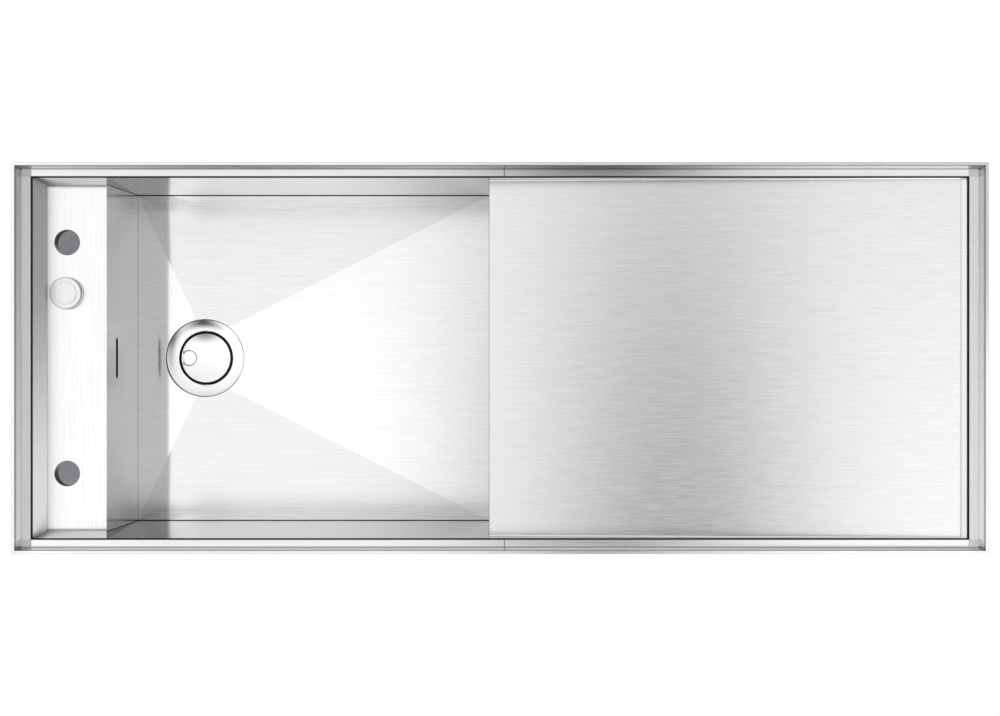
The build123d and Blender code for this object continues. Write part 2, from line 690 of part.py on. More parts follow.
# Waste, in a frame whose zero is the underside of the flange's lip
def waste_flange():
    """Dished flange, throat with a seat for the plug's seal, and threaded neck."""
    edge = FLANGE_RADIUS - FLANGE_EDGE_ROUND
    mouth = THROAT_RADIUS + THROAT_LIP
    middle = ((edge + mouth) / 2, FLANGE_EDGE / 2 - DISH_SAG)
    section = [
        Line((FLANGE_RADIUS, 0), (FLANGE_RADIUS, FLANGE_EDGE - FLANGE_EDGE_ROUND)),
        Line((FLANGE_RADIUS, FLANGE_EDGE - FLANGE_EDGE_ROUND), (edge, FLANGE_EDGE)),
        ThreePointArc((edge, FLANGE_EDGE), middle, (mouth, 0)),
        Line((mouth, 0), (THROAT_RADIUS, -THROAT_LIP)),
        Line((THROAT_RADIUS, -THROAT_LIP), (THROAT_RADIUS, SEAL_SEAT)),
        Line((THROAT_RADIUS, SEAL_SEAT), (THROAT_RADIUS - SEAT_WIDTH, SEAL_SEAT)),
        Line((THROAT_RADIUS - SEAT_WIDTH, SEAL_SEAT), (THROAT_RADIUS - SEAT_WIDTH, -NECK_LENGTH)),
        Line((THROAT_RADIUS - SEAT_WIDTH, -NECK_LENGTH), (NECK_RADIUS, -NECK_LENGTH)),
        Line((NECK_RADIUS, -NECK_LENGTH), (NECK_RADIUS, 0)),
        Line((NECK_RADIUS, 0), (FLANGE_RADIUS, 0)),
    ]
    return WASTE * turned(section)


def waste_gasket_upper():
    return WASTE * ring(FLOOR_HOLE_RADIUS, FLANGE_RADIUS - GASKET_INSET, -GASKET_UPPER, 0)


def waste_gasket_lower():
    return WASTE * ring(FLOOR_HOLE_RADIUS, BODY_FLANGE_RADIUS - GASKET_INSET, BODY_TOP, FLOOR_UNDER)


def waste_body():
    """Collar and cup on the flange's neck, with overflow port, shaft boss and a ledge for the guide."""
    port_place = Pos(0, 0, -PORT_DROP) * ALONG_LEFT
    shaft_place = Pos(-ROCKER_ARM, 0, ROCKER_Z) * ALONG_Y
    body = disc(BODY_FLANGE_RADIUS, BODY_TOP - BODY_FLANGE, BODY_TOP)
    body += disc(CUP_RADIUS, -CUP_DEPTH, BODY_TOP)
    body += port_place * disc(SPIGOT_RADIUS, 0, PORT_END)
    body += shaft_place * disc(ROCKER_BOSS_RADIUS, 0, ROCKER_BOSS_END)
    body -= disc(NECK_RADIUS + CURVE_GAP, -NECK_LENGTH, BODY_TOP + CUT)
    body -= disc(CUP_INNER, GUIDE_BOTTOM, -NECK_LENGTH)
    body -= disc(CUP_LOWER, -CUP_DEPTH - CUT, GUIDE_BOTTOM)
    body -= port_place * disc(SPIGOT_INNER, 0, PORT_END + CUT)
    return WASTE * (body - shaft_place * disc(ROCKER_SHAFT_RADIUS + RUNNING_GAP, 0, ROCKER_BOSS_END + CUT))


def lift_guide():
    """Sprung spider on the cup's ledge: a hub on three arms in a ring that is open at the port."""
    height = (GUIDE_BOTTOM, -GUIDE_TOP)
    outer = CUP_INNER - CURVE_GAP
    half_arm = GUIDE_ARM_WIDTH / 2
    half_gap = SPIGOT_INNER + GUIDE_ARM_WIDTH
    guide = ring(outer - GUIDE_RING, outer, *height)
    guide -= block((-CUP_RADIUS, 0), (-half_gap, half_gap), (height[0] - CUT, height[1] + CUT))
    guide += disc(GUIDE_RADIUS, *height)
    arm = block((0, outer - GUIDE_RING / 2), (-half_arm, half_arm), height)
    for turn in around(GUIDE_ARMS):
        guide += turn * arm
    return WASTE * (guide - disc(STEM_RADIUS + RUNNING_GAP, height[0] - CUT, height[1] + CUT))


def outlet_tail():
    """Plate that closes the cup, with an upstand inside it and the threaded outlet below."""
    plate_bottom = -CUP_DEPTH - OUTLET_PLATE
    bottom = plate_bottom - OUTLET_LENGTH
    upstand = CUP_LOWER - CURVE_GAP
    tail = disc(CUP_RADIUS, plate_bottom, -CUP_DEPTH)
    tail += ring(upstand - CUP_WALL, upstand, -CUP_DEPTH, OUTLET_UPSTAND - CUP_DEPTH)
    tail += disc(OUTLET_RADIUS, bottom, plate_bottom)
    return WASTE * (tail - disc(OUTLET_RADIUS - OUTLET_WALL, bottom - CUT, CUT - CUP_DEPTH))


def plug_disc():
    """Dished plug with a shoulder for its seal, a hub below and a finger pocket at its left edge."""
    top = -PLUG_TOP
    shoulder = -PLUG_SHOULDER
    bottom = shoulder - PLUG_HUB
    section = [
        Line((0, bottom), (PLUG_HUB_RADIUS, bottom)),
        Line((PLUG_HUB_RADIUS, bottom), (PLUG_HUB_RADIUS, shoulder)),
        Line((PLUG_HUB_RADIUS, shoulder), (PLUG_RADIUS, shoulder)),
        Line((PLUG_RADIUS, shoulder), (PLUG_RADIUS, top)),
        RadiusArc((PLUG_RADIUS, top), (0, top - PLUG_DISH), dish_radius()),
        Line((0, top - PLUG_DISH), (0, bottom)),
    ]
    outer = PLUG_RADIUS + CUT
    flare = POCKET_RADIUS + POCKET_FLARE
    mouth = Polyline(
        (-POCKET_OFFSET, POCKET_RADIUS),
        (-outer, flare),
        (-outer, -flare),
        (-POCKET_OFFSET, -POCKET_RADIUS),
        close=True,
    )
    floor = top - POCKET_DEPTH
    pocket = extrude(Pos(0, 0, floor) * make_face(mouth), POCKET_DEPTH + CUT)
    pocket += Pos(-POCKET_OFFSET, 0, 0) * disc(POCKET_RADIUS, floor, top + CUT)
    return WASTE * (turned(section) - pocket)


def dish_radius():
    """Radius of the plug's dish from its chord and depth."""
    return (PLUG_RADIUS**2 + PLUG_DISH**2) / (2 * PLUG_DISH)


def plug_seal():
    return WASTE * ring(PLUG_RADIUS + SEAT_GAP, SEAL_RADIUS, -PLUG_SHOULDER, -PLUG_TOP - SEAL_DROP)


def plug_stem():
    return WASTE * disc(STEM_RADIUS, -STEM_BOTTOM, -PLUG_SHOULDER - PLUG_HUB)


def strainer_basket():
    """Slotted cup hung from a flange between the plug and its seal's seat."""
    outer = THROAT_RADIUS - SEAT_WIDTH - BASKET_TAPER
    flange_bottom = -PLUG_SHOULDER - BASKET_FLANGE
    bottom = flange_bottom - BASKET_DEPTH
    flange_radius = THROAT_RADIUS - SEAT_WIDTH - 2 * CURVE_GAP
    basket = disc(outer, bottom, flange_bottom)
    basket -= disc(outer - BASKET_WALL, bottom + BASKET_WALL, flange_bottom)
    basket += ring(PLUG_HUB_RADIUS + SEAT_GAP, flange_radius, flange_bottom, -PLUG_SHOULDER)
    middle = (bottom + flange_bottom) / 2
    half_width = BASKET_SLOT_WIDTH / 2
    half_height = BASKET_SLOT_HEIGHT / 2
    slot = block((0, outer + CUT), (-half_width, half_width), (middle - half_height, middle + half_height))
    slot -= disc(outer - BASKET_WALL - CUT, bottom, flange_bottom)
    hole = Pos(BASKET_HOLE_CIRCLE, 0, 0) * disc(BASKET_HOLE_RADIUS, bottom - CUT, bottom + BASKET_WALL + CUT)
    for turn in around(BASKET_SLOTS):
        basket -= turn * slot
    for turn in around(BASKET_HOLES):
        basket -= turn * hole
    return WASTE * (basket - disc(STEM_RADIUS + SEAT_GAP, bottom - CUT, bottom + BASKET_WALL + CUT))


def lift_pin():
    return WASTE * disc(STEM_RADIUS, PIN_BOTTOM, -STEM_BOTTOM)


# Rocker, in a frame on its shaft, drawn level and then swung down to its resting place
def rocker_shaft():
    half = ROCKER_WIDTH / 2
    tip = ROCKER_TIP_RADIUS
    shaft_end = ROCKER_BOSS_END + BRACKET + SHAFT_GLAND + CRANK_GAP + CRANK
    shaft = ALONG_Y * disc(ROCKER_SHAFT_RADIUS, -ROCKER_SHAFT_START, shaft_end)
    shaft += ALONG_Y * disc(ROCKER_HUB_RADIUS, -half, half)
    shaft += block((0, ROCKER_ARM), (-half, half), (-ROCKER_FINGER / 2, ROCKER_FINGER / 2))
    shaft += Pos(ROCKER_ARM, 0, 0) * ALONG_Y * disc(tip, -half, half)
    return ROCKER * Rot(0, ROCKER_SWING, 0) * shaft


def rocker_crank():
    start = ROCKER_BOSS_END + BRACKET + SHAFT_GLAND + CRANK_GAP
    end = start + CRANK
    eye = Pos(0, 0, CRANK_ARM)
    crank = ALONG_Y * disc(ROCKER_HUB_RADIUS, start, end)
    crank += eye * ALONG_Y * disc(CRANK_END_RADIUS, start, end)
    crank += block((-CRANK_END_RADIUS, CRANK_END_RADIUS), (start, end), (0, CRANK_ARM))
    crank -= ALONG_Y * disc(ROCKER_SHAFT_RADIUS + SEAT_GAP, start - CUT, end + CUT)
    crank -= eye * ALONG_Y * disc(CRANK_EYE_RADIUS, start - CUT, end + CUT)
    return ROCKER * Rot(0, ROCKER_SWING, 0) * crank


def shaft_gland():
    start = ROCKER_BOSS_END + BRACKET
    nut = hexagon(SHAFT_GLAND_FLATS, start, start + SHAFT_GLAND)
    nut -= disc(ROCKER_SHAFT_RADIUS + RUNNING_GAP, start - CUT, start + SHAFT_GLAND + CUT)
    return ROCKER * ALONG_Y * nut


def cable_bracket():
    """Bent plate under the shaft gland, with a tab that holds the cable gland level with the crank's eye."""
    start = ROCKER_BOSS_END
    face = start + BRACKET
    tab_x = -BRACKET_REACH
    tab_bottom = CRANK_ARM - BRACKET_TAB_HEIGHT / 2
    tab_top = CRANK_ARM + BRACKET_TAB_HEIGHT / 2
    plate = block((-BRACKET_HALF, BRACKET_HALF), (start, face), (-BRACKET_HALF, tab_top))
    plate += block((tab_x, 0), (start, face), (tab_bottom, tab_top))
    plate += block((tab_x, tab_x + BRACKET), (start, face + BRACKET_TAB), (tab_bottom, tab_top))
    plate -= ALONG_Y * disc(ROCKER_SHAFT_RADIUS + RUNNING_GAP, start - CUT, face + CUT)
    return ROCKER * (plate - bracket_eye() * disc(GLAND_BORE_RADIUS, -BRACKET - CUT, CUT))


def bracket_eye():
    """Seat of the cable gland on the bracket's tab, pointing left."""
    middle = ROCKER_BOSS_END + BRACKET + BRACKET_TAB / 2
    return Pos(-BRACKET_REACH, middle, CRANK_ARM) * ALONG_LEFT


def waste_gland():
    return ROCKER * bracket_eye() * gland()


# Overflow
def overflow_gasket():
    half_y = SLOT_LENGTH / 2 + OVERFLOW_GASKET_RIM
    half_z = SLOT_HEIGHT / 2 + OVERFLOW_GASKET_RIM
    inner_y = SLOT_LENGTH / 2
    inner_z = SLOT_HEIGHT / 2
    x = (OVERFLOW_FACE, PANEL_BACK)
    pad = block(x, (-half_y, half_y), (SLOT_Z - half_z, SLOT_Z + half_z))
    return pad - block((x[0] - CUT, x[1] + CUT), (-inner_y, inner_y), (SLOT_Z - inner_z, SLOT_Z + inner_z))


def overflow_housing():
    """Moulded box behind the slot, with a flange for the studs and a spigot for the pipe."""
    flange_y = OVERFLOW_FLANGE_HALF_WIDTH
    box_y = SLOT_LENGTH / 2 + OVERFLOW_GASKET_RIM
    inner_y = box_y - OVERFLOW_WALL
    inner_z = SLOT_HEIGHT / 2 + OVERFLOW_GASKET_RIM - OVERFLOW_WALL
    back = OVERFLOW_BOX - OVERFLOW_BOX_DEPTH
    inner_back = back + OVERFLOW_WALL
    top = SLOT_Z + OVERFLOW_FLANGE_HALF_HEIGHT
    inner_bottom = SPIGOT_TOP + OVERFLOW_WALL
    housing = block((OVERFLOW_BOX, OVERFLOW_FACE), (-flange_y, flange_y), (SPIGOT_TOP, top))
    housing += block((back, OVERFLOW_BOX), (-box_y, box_y), (SPIGOT_TOP, top))
    spigot = Pos(PIPE_X, 0, 0)
    housing += spigot * disc(SPIGOT_RADIUS, SPIGOT_END, SPIGOT_TOP)
    housing -= block((inner_back, OVERFLOW_BOX), (-inner_y, inner_y), (inner_bottom, top - OVERFLOW_WALL))
    mouth_z = (SLOT_Z - inner_z, SLOT_Z + inner_z)
    housing -= block((inner_back, OVERFLOW_FACE + CUT), (-inner_y, inner_y), mouth_z)
    housing -= spigot * disc(SPIGOT_INNER, SPIGOT_END - CUT, inner_bottom + CUT)
    for y in (-STUD_OFFSET, STUD_OFFSET):
        housing -= stud_place(y) * disc(STUD_RADIUS + CURVE_GAP, 0, OVERFLOW_GASKET + OVERFLOW_FLANGE + CUT)
    return housing


def stud_place(y):
    """Root of a stud on the back of the left panel, pointing left."""
    return Pos(PANEL_BACK, y, SLOT_Z) * ALONG_LEFT


def overflow_studs():
    return group([stud_place(y) * disc(STUD_RADIUS, 0, STUD_LENGTH) for y in (-STUD_OFFSET, STUD_OFFSET)])


def overflow_nuts():
    start = OVERFLOW_GASKET + OVERFLOW_FLANGE
    nut = hexagon(STUD_NUT_FLATS, start, start + STUD_NUT_HEIGHT)
    nut -= disc(STUD_RADIUS + SEAT_GAP, start - CUT, start + STUD_NUT_HEIGHT + CUT)
    return group([stud_place(y) * nut for y in (-STUD_OFFSET, STUD_OFFSET)])


def overflow_pipe():
    """Rigid pipe from the housing's spigot down and across to the waste body's port."""
    route = FilletPolyline(
        (PIPE_X, 0, SPIGOT_END + PIPE_INSERT),
        (PIPE_X, 0, PORT_Z),
        (WASTE_X - PORT_END + PIPE_INSERT, 0, PORT_Z),
        radius=PIPE_BEND,
    )
    start = Plane(origin=route @ 0, z_dir=route % 0)
    return sweep(start * (Circle(PIPE_RADIUS) - Circle(PIPE_RADIUS - PIPE_WALL)), path=route)


def union_nut():
    """Hexagonal nut over a spigot's end, with its lip at the bottom and zero at the spigot's end."""
    nut = hexagon(UNION_FLATS, -UNION_LIP, UNION_LENGTH - UNION_LIP)
    nut -= disc(SPIGOT_RADIUS + CURVE_GAP, 0, UNION_LENGTH)
    return nut - disc(PIPE_RADIUS + CURVE_GAP, -UNION_LIP - CUT, CUT)


def overflow_unions():
    upper = Pos(PIPE_X, 0, SPIGOT_END) * union_nut()
    lower = Pos(WASTE_X - PORT_END, 0, PORT_Z) * ALONG_RIGHT * union_nut()
    return group([upper, lower])


ALL_Y = (-HALF_WIDTH, HALF_WIDTH)
REAR_Y = (0, HALF_WIDTH)
FRONT_Y = (-HALF_WIDTH, 0)

PARTS = {
    "rim_left": rail((-HALF_LENGTH, -INNER_X), ALL_Y),
    "rim_right": rail((INNER_X, HALF_LENGTH), ALL_Y),
    "rim_rear_left": rail((-INNER_X, SEAM_X), REAR_Y),
    "rim_rear_right": rail((SEAM_X, INNER_X), REAR_Y),
    "rim_front_left": rail((-INNER_X, SEAM_X), FRONT_Y),
    "rim_front_right": rail((SEAM_X, INNER_X), FRONT_Y),
    "ledge_strips": ledge_strips(),
    "recess_left_panel": recess_left_panel(),
    "recess_rear_panel": recess_rear_panel(),
    "recess_front_panel": front_of(recess_rear_panel()),
    "tap_shelf": tap_shelf(),
    "tap_hole_collars": tap_hole_collars(),
    "bowl_left_panel": bowl_left_panel(),
    "bowl_right_panel": bowl_right_panel(),
    "bowl_rear_panel": bowl_rear_panel(),
    "bowl_front_panel": front_of(bowl_rear_panel()),
    "bowl_floor": bowl_floor(),
    "drainer_panel": drainer_panel(),
    "drainer_rear_panel": drainer_rear_panel(),
    "drainer_front_panel": front_of(drainer_rear_panel()),
    "drainer_end_panel": drainer_end_panel(),
    "drainer_stiffeners": drainer_stiffeners(),
    "sound_pads": sound_pads(),
    "earth_tag": earth_tag(),
    "clip_brackets": at_clips(clip_bracket()),
    "clip_claws": at_clips(clip_claw()),
    "clip_screws": at_clips(clip_screw()),
    "control_knob": control_knob(),
    "knob_base": knob_base(),
    "knob_bush": knob_bush(),
    "knob_nut": knob_nut(),
    "knob_spindle": knob_spindle(),
    "cable_pulley": cable_pulley(),
    "cable_housing": cable_housing(),
    "control_gland": control_gland(),
    "waste_flange": waste_flange(),
    "waste_gasket_upper": waste_gasket_upper(),
    "waste_gasket_lower": waste_gasket_lower(),
    "waste_body": waste_body(),
    "lift_guide": lift_guide(),
    "outlet_tail": outlet_tail(),
    "plug_disc": plug_disc(),
    "plug_seal": plug_seal(),
    "plug_stem": plug_stem(),
    "strainer_basket": strainer_basket(),
    "lift_pin": lift_pin(),
    "rocker_shaft": rocker_shaft(),
    "rocker_crank": rocker_crank(),
    "shaft_gland": shaft_gland(),
    "cable_bracket": cable_bracket(),
    "waste_gland": waste_gland(),
    "overflow_gasket": overflow_gasket(),
    "overflow_housing": overflow_housing(),
    "overflow_studs": overflow_studs(),
    "overflow_nuts": overflow_nuts(),
    "overflow_pipe": overflow_pipe(),
    "overflow_unions": overflow_unions(),
}

os.makedirs("parts", exist_ok=True)
for name, part in PARTS.items():
    export_step(part, os.path.join("parts", name + ".step"))
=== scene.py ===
import math
from functools import partial

import bmesh
import bpy
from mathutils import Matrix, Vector


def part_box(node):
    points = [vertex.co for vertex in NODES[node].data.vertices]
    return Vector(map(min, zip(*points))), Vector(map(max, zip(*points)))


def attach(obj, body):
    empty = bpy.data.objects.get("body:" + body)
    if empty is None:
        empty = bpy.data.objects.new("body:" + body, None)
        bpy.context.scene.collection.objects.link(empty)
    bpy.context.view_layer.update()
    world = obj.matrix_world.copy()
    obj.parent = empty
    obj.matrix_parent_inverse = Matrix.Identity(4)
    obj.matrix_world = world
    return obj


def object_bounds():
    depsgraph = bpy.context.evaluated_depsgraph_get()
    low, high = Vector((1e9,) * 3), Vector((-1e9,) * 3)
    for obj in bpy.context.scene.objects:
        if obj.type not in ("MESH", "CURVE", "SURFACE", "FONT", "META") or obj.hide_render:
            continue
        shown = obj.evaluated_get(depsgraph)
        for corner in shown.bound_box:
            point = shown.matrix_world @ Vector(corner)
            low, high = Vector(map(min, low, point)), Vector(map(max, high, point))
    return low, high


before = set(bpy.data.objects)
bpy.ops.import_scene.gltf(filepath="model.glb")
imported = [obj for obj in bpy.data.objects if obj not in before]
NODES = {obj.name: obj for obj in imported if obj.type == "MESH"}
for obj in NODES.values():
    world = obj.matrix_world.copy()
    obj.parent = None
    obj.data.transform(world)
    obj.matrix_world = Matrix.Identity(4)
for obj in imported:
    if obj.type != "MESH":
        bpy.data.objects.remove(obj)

# Looks of a flush-mounted kitchen sink. Metres, in the frame of the solids:
# +X to the drainer end, +Y to the rear, Z = 0 at the top of the rim.

CAD_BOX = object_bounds()
MM = 0.001

# Camera straight above the middle of the rim
CAMERA_HEIGHT = 1.566
CAMERA_LENS = 43.17
SENSOR_WIDTH = 36.0

# Places read from the solids
RIM_LOW, RIM_HIGH = CAD_BOX
_, RAIL_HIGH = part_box("rim_rear_left")
FLOOR_LOW, FLOOR_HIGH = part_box("bowl_floor")
WALL_LOW, WALL_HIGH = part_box("bowl_rear_panel")
LEFT_LOW, LEFT_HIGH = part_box("bowl_left_panel")
_, RIGHT_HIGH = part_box("bowl_right_panel")
DRAINER_LOW, DRAINER_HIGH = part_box("drainer_panel")
RECESS_LOW, RECESS_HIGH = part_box("recess_left_panel")
_, SHELF_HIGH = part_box("tap_shelf")
KNOB_LOW, KNOB_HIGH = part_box("control_knob")
FLANGE_LOW, FLANGE_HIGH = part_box("waste_flange")
OUTLET_LOW, OUTLET_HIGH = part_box("outlet_tail")
PLUG_LOW, PLUG_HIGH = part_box("plug_disc")
SCREW_LOW, SCREW_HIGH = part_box("clip_screws")
STUD_LOW, STUD_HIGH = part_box("overflow_studs")
BUSH_LOW, BUSH_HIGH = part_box("knob_bush")
NUT_LOW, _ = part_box("knob_nut")
_, CAN_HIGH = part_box("cable_housing")
UNION_LOW, UNION_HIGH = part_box("overflow_unions")
CONTROL_LOW, CONTROL_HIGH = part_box("control_gland")
WASTE_GLAND_LOW, WASTE_GLAND_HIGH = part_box("waste_gland")
_, BRACKET_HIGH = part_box("clip_brackets")
CLAW_LOW, CLAW_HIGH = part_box("clip_claws")
STUD_NUT_LOW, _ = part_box("overflow_nuts")
GASKET_LOW, GASKET_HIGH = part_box("overflow_gasket")

# Noise in the finishes, and the range of it that is spread over tones and gloss
NOISE_DETAIL = 2.0
NOISE_ROUGHNESS = 0.5
NOISE_LOW = 0.3
NOISE_HIGH = 0.7

# Finish of the steel: reflectance, gloss and grain
STEEL_TONE = 0.80
STEEL_ROUGHNESS = 0.20
STEEL_ANISOTROPY = 0.95
GRAIN_ALONG = 15.0
GRAIN_FINE = 920.0
GRAIN_BROAD_ALONG = 5.0
GRAIN_BROAD = 240.0
GRAIN_SKEW = 0.03
FINE_SHARE = 0.82
WEAVE_SHARE = 0.45
STREAK = 0.048
STREAK_RELIEF = 0.15
STREAK_DEPTH = 0.014 * MM
GLOSS_LOW = 0.25
GLOSS_HIGH = 0.75
GLOSSIEST = 0.9
DULLEST = 1.15
SOFT = 0.2 * MM

# Painted shade where sheets meet, by how open the corner is
SEAM_REACH = 2.2 * MM
SEAM_SAMPLES = 8
SEAM_CLOSED = 0.35
SEAM_OPEN = 0.85
SEAM_SHADE = 0.30

# Faces that look into the sink, and faces square to an axis
FACING_UP = 0.3
FACING_SOFT = 0.02
SQUARE_LOW = 0.3
SQUARE_HIGH = 0.7

# Joints that show as dark lines, and painted shade along folds, creases, the drainer's edge and the
# step faces
JOINT_WIDTH = 0.9 * MM
JOINT_SOFTNESS = 0.15 * MM
DRAINER_EDGE_SHADE = 0.35
RIM_FLANGE = 4.2 * MM
STEP_DRAFT = 2.1 * MM
FOLD_WIDTH = 0.55 * MM
FOLD_SHADE = 0.45
EDGE_WIDTH = 0.8 * MM
EDGE_SHADE = 0.82
MITRE_WIDTH = 0.8 * MM
MITRE_SHADE = 0.35
FOOT_WIDTH = 0.9 * MM
FOOT_SHADE = 0.42
REAR_FACE_SHADE = 0.06
FRONT_FACE_SHADE = 0.02
BUTT_WIDTH = 0.9 * MM
BUTT_DARK = 0.40

# Bowl floor: planes that lean to the rear or front, and its right end, are painted darker as
# painted reflection, the left corners are painted lighter as a painted highlight, and the gloss
# evens out the slopes
FLOOR_TONE = 0.86
FLOOR_ROUGHNESS = 0.13
FLOOR_SIDE_SHADE = 0.88
FLOOR_LEAN_START = 0.01
FLOOR_LEAN_END = 0.03
FLOOR_EVENNESS = 0.10
FLOOR_LEFT_LEAN = -0.021
FLOOR_LEFT_START = 70.0 * MM
FLOOR_LEFT_END = 130.0 * MM
FLOOR_CORNER_START = 190.0 * MM
FLOOR_CORNER_END = 220.0 * MM
FLOOR_CORNER_X = 62.0 * MM
FLOOR_CORNER_WIDTH = 32.0 * MM
FLOOR_CORNER_HIGHLIGHT = 0.28
FLOOR_RIGHT_SHADE = 0.93
FLOOR_RIGHT_START = -200.0 * MM

# End rails: tones of step, ledge and corner squares, and of the flange at its front and rear,
# painted to stand in for their reflections
END_RIM_TONE = 1.0
STEP_TONE = 0.90
CORNER_TONE = 0.80
LEFT_LEDGE_TONE = 0.58
LEFT_FLANGE_TONES = (0.98, 0.98)
RIGHT_LEDGE_TONE = 0.70
RIGHT_FLANGE_TONES = (1.0, 0.64)
FLANGE_LIGHT_END = -55.0 * MM
FLANGE_DARK_START = 127.0 * MM
END_SLOPE = 0.06
END_LEAN = 0.20

# Walls: the long ones are painted darker towards both ends, with a slanting edge and a dip at the
# left, and each wall's tone is painted, as painted reflection
WALL_ROUGHNESS = 0.13
REAR_WALL_TONE = 0.96
FRONT_WALL_TONE = 0.76
REAR_WALL_SHADE = 0.33
FRONT_WALL_SHADE = 0.28
WALL_SLANT = 0.28
WALL_EDGE_START = 42.0 * MM
WALL_EDGE_END = 50.0 * MM
WALL_SHADE_RIGHT = 0.52
WALL_RIGHT_REACH = 260.0 * MM
WALL_CORNER_DIP = 0.27
WALL_CORNER_X = 84.0 * MM
WALL_CORNER_WIDTH = 40.0 * MM
CROSS_WALL_TONE = 0.50
SIDE_WALL_ROUGHNESS = 0.15
SIDE_WALL_BEND = (1.0, 1.0, 0.2)
END_WALL_TONE = 0.95
END_WALL_ROUGHNESS = 0.55

# Drainer: edges rolled up a little where they meet the walls
EDGE_ROLL = 0.30
END_ROLL_START = 12.0 * MM
END_ROLL_FULL = 5.4 * MM
SIDE_ROLL_START = 4.0 * MM
SIDE_ROLL_FULL = 3.0 * MM

# Tap recess: sloping panels with a broad gloss, painted darker towards rear and corners as painted
# reflection, a painted shadow on the shelf, and a slot painted near black
SHELF_TONE = 0.96
SHELF_LEAN = 0.13
SHELF_SHADOW = 0.92
SHELF_SHADOW_REACH = 9.0 * MM
RECESS_LIFT = 1.5
RECESS_ROUGHNESS = 0.40
# Panel tones, and the recess wall painted darker towards the rear and near its corners, as painted
# reflection and shade
RECESS_TONE = 0.66
RECESS_REAR_TONE = 0.60
RECESS_FRONT_TONE = 0.84
RECESS_SHADE = 0.50
RECESS_SHADE_REAR = 130.0 * MM
RECESS_SHADE_FRONT = -190.0 * MM
CORNER_SHADE = 0.56
CORNER_REACH = 14.0 * MM
# Tongue painted darker as painted reflection, and a painted shade line down the bowl's corner
TONGUE_REAR = 0.34
TONGUE_FRONT = 0.24
TONGUE_SLANT = 0.338
TONGUE_LINE = 1.5 * MM
TONGUE_LINE_TONE = 0.30
# Cut edges and rim of the overflow slot painted near black, as painted shade
SLOT_SHADE = 0.03
SLOT_MARGIN = 6.0 * MM
SLOT_RIM = 1.4 * MM

# Long rails: the rear one has a stretch painted darker beside its butt seam and a flange painted
# darker to the right, and the front one a darker tone, as painted reflection
FRONT_RIM_TONE = 0.84
DIP_CENTRE = 135.0 * MM
DIP_WIDTH = 150.0 * MM
DIP_DEPTH = 0.54
FLANGE_SHADE = 0.76
FLANGE_SHADE_START = 150.0 * MM
FLANGE_SHADE_END = 350.0 * MM

# Knob: painted shade in a line round its raised disc, towards its right, and on flanks that darken
# towards the top
KNOB_RIGHT_TONE = 0.93
KNOB_DISC_RADIUS = 15.0 * MM
KNOB_LINE = 0.6 * MM
KNOB_LINE_SHADE = 0.88
KNOB_CROWN = 2.0 * MM
FLANK_LOW_TONE = 1.05
FLANK_HIGH_TONE = 0.20

# Gloss of the dished flange and of the plug, by factors on their slopes
FLANGE_BEND = (0.55, 0.80, 1.0)
PLUG_BEND = (0.8, 1.35, 1.0)

# Plug: finger pocket with a thin lip that keeps the seal back
POCKET_OFFSET = 26.0 * MM
# Painted shade line round the finger pocket
POCKET_LINE_RADIUS = 11.1 * MM
POCKET_LINE = 1.1 * MM
POCKET_LINE_SHADE = 0.22
LIP_OUTER = 35.85 * MM
LIP_INNER = 35.15 * MM
LIP_TOP = 0.05 * MM
LIP_HEIGHT = 6.2 * MM
LIP_HALF_ANGLE = math.radians(21.0)
LIP_STEPS = 20

# Threads: radius of the turned solids, pitch and height of the ridges, and their foot and crest
# by shares of the pitch
THREAD_STEPS = 28
THREAD_RUN_OUT = 0.6
THREAD_FOOT = 0.45
THREAD_CREST = 0.10
OUTLET_RADIUS = 23.9 * MM
OUTLET_PLATE = 4.0 * MM
OUTLET_UPSTAND = 6.0 * MM
OUTLET_PITCH = 2.3 * MM
OUTLET_RIDGE = 0.9 * MM
SPIGOT_RADIUS = 13.0 * MM
SPIGOT_PITCH = 2.0 * MM
SPIGOT_RIDGE = 0.6 * MM
SPIGOT_LENGTH = 6.4 * MM
PORT_LENGTH = 10.4 * MM
UNION_HALF = 17.3 * MM
BUSH_RADIUS = 9.0 * MM
BUSH_PITCH = 1.5 * MM
BUSH_RIDGE = 0.45 * MM
GLAND_RADIUS = 3.5 * MM
GLAND_TUBE = 10.0 * MM
GLAND_PITCH = 1.0 * MM
GLAND_RIDGE = 0.3 * MM
SCREW_RADIUS = 2.0 * MM
SCREW_PITCH = 0.9 * MM
SCREW_RIDGE = 0.25 * MM
THREAD_CLEAR = 0.3 * MM

# Clip screws: knurled heads
CLIP_COUNT = 4
CLIP_SHEET = 2.0 * MM
HEAD_RADIUS = 3.2 * MM
HEAD_HEIGHT = 5.0 * MM
KNURL_COUNT = 22
KNURL_HEIGHT = 0.35 * MM
KNURL_INSET = 0.5 * MM

# Weld beads along the bowl's outer edges
BEAD_RADIUS = 0.72 * MM
BEAD_RIPPLE = 0.20 * MM
BEAD_PITCH = 3.0 * MM
BEAD_STEPS = 4
BEAD_SIDES = 8
BEAD_INSET = 3.0 * MM

# Polished steel with a faint haze
POLISH_TONE = 0.86
POLISH_ROUGHNESS = 0.08
HAZE_SCALE = 60.0
HAZE_DETAIL = 3.0
HAZE_SPREAD = 0.02
HAZE_GLOSSIEST = 0.8
HAZE_DULLEST = 1.3

# Satin metals: mottling, and the finish of each
MOTTLE_SCALE = 500.0
MOTTLE_SPREAD = 0.03
MOTTLE_DETAIL = 3.0
MOTTLE_ROUGHNESS = 0.6
MOTTLE_GLOSSIER = 0.05
MOTTLE_DULLER = 0.06
MOTTLE_RELIEF = 0.15
MOTTLE_DEPTH = 0.03 * MM
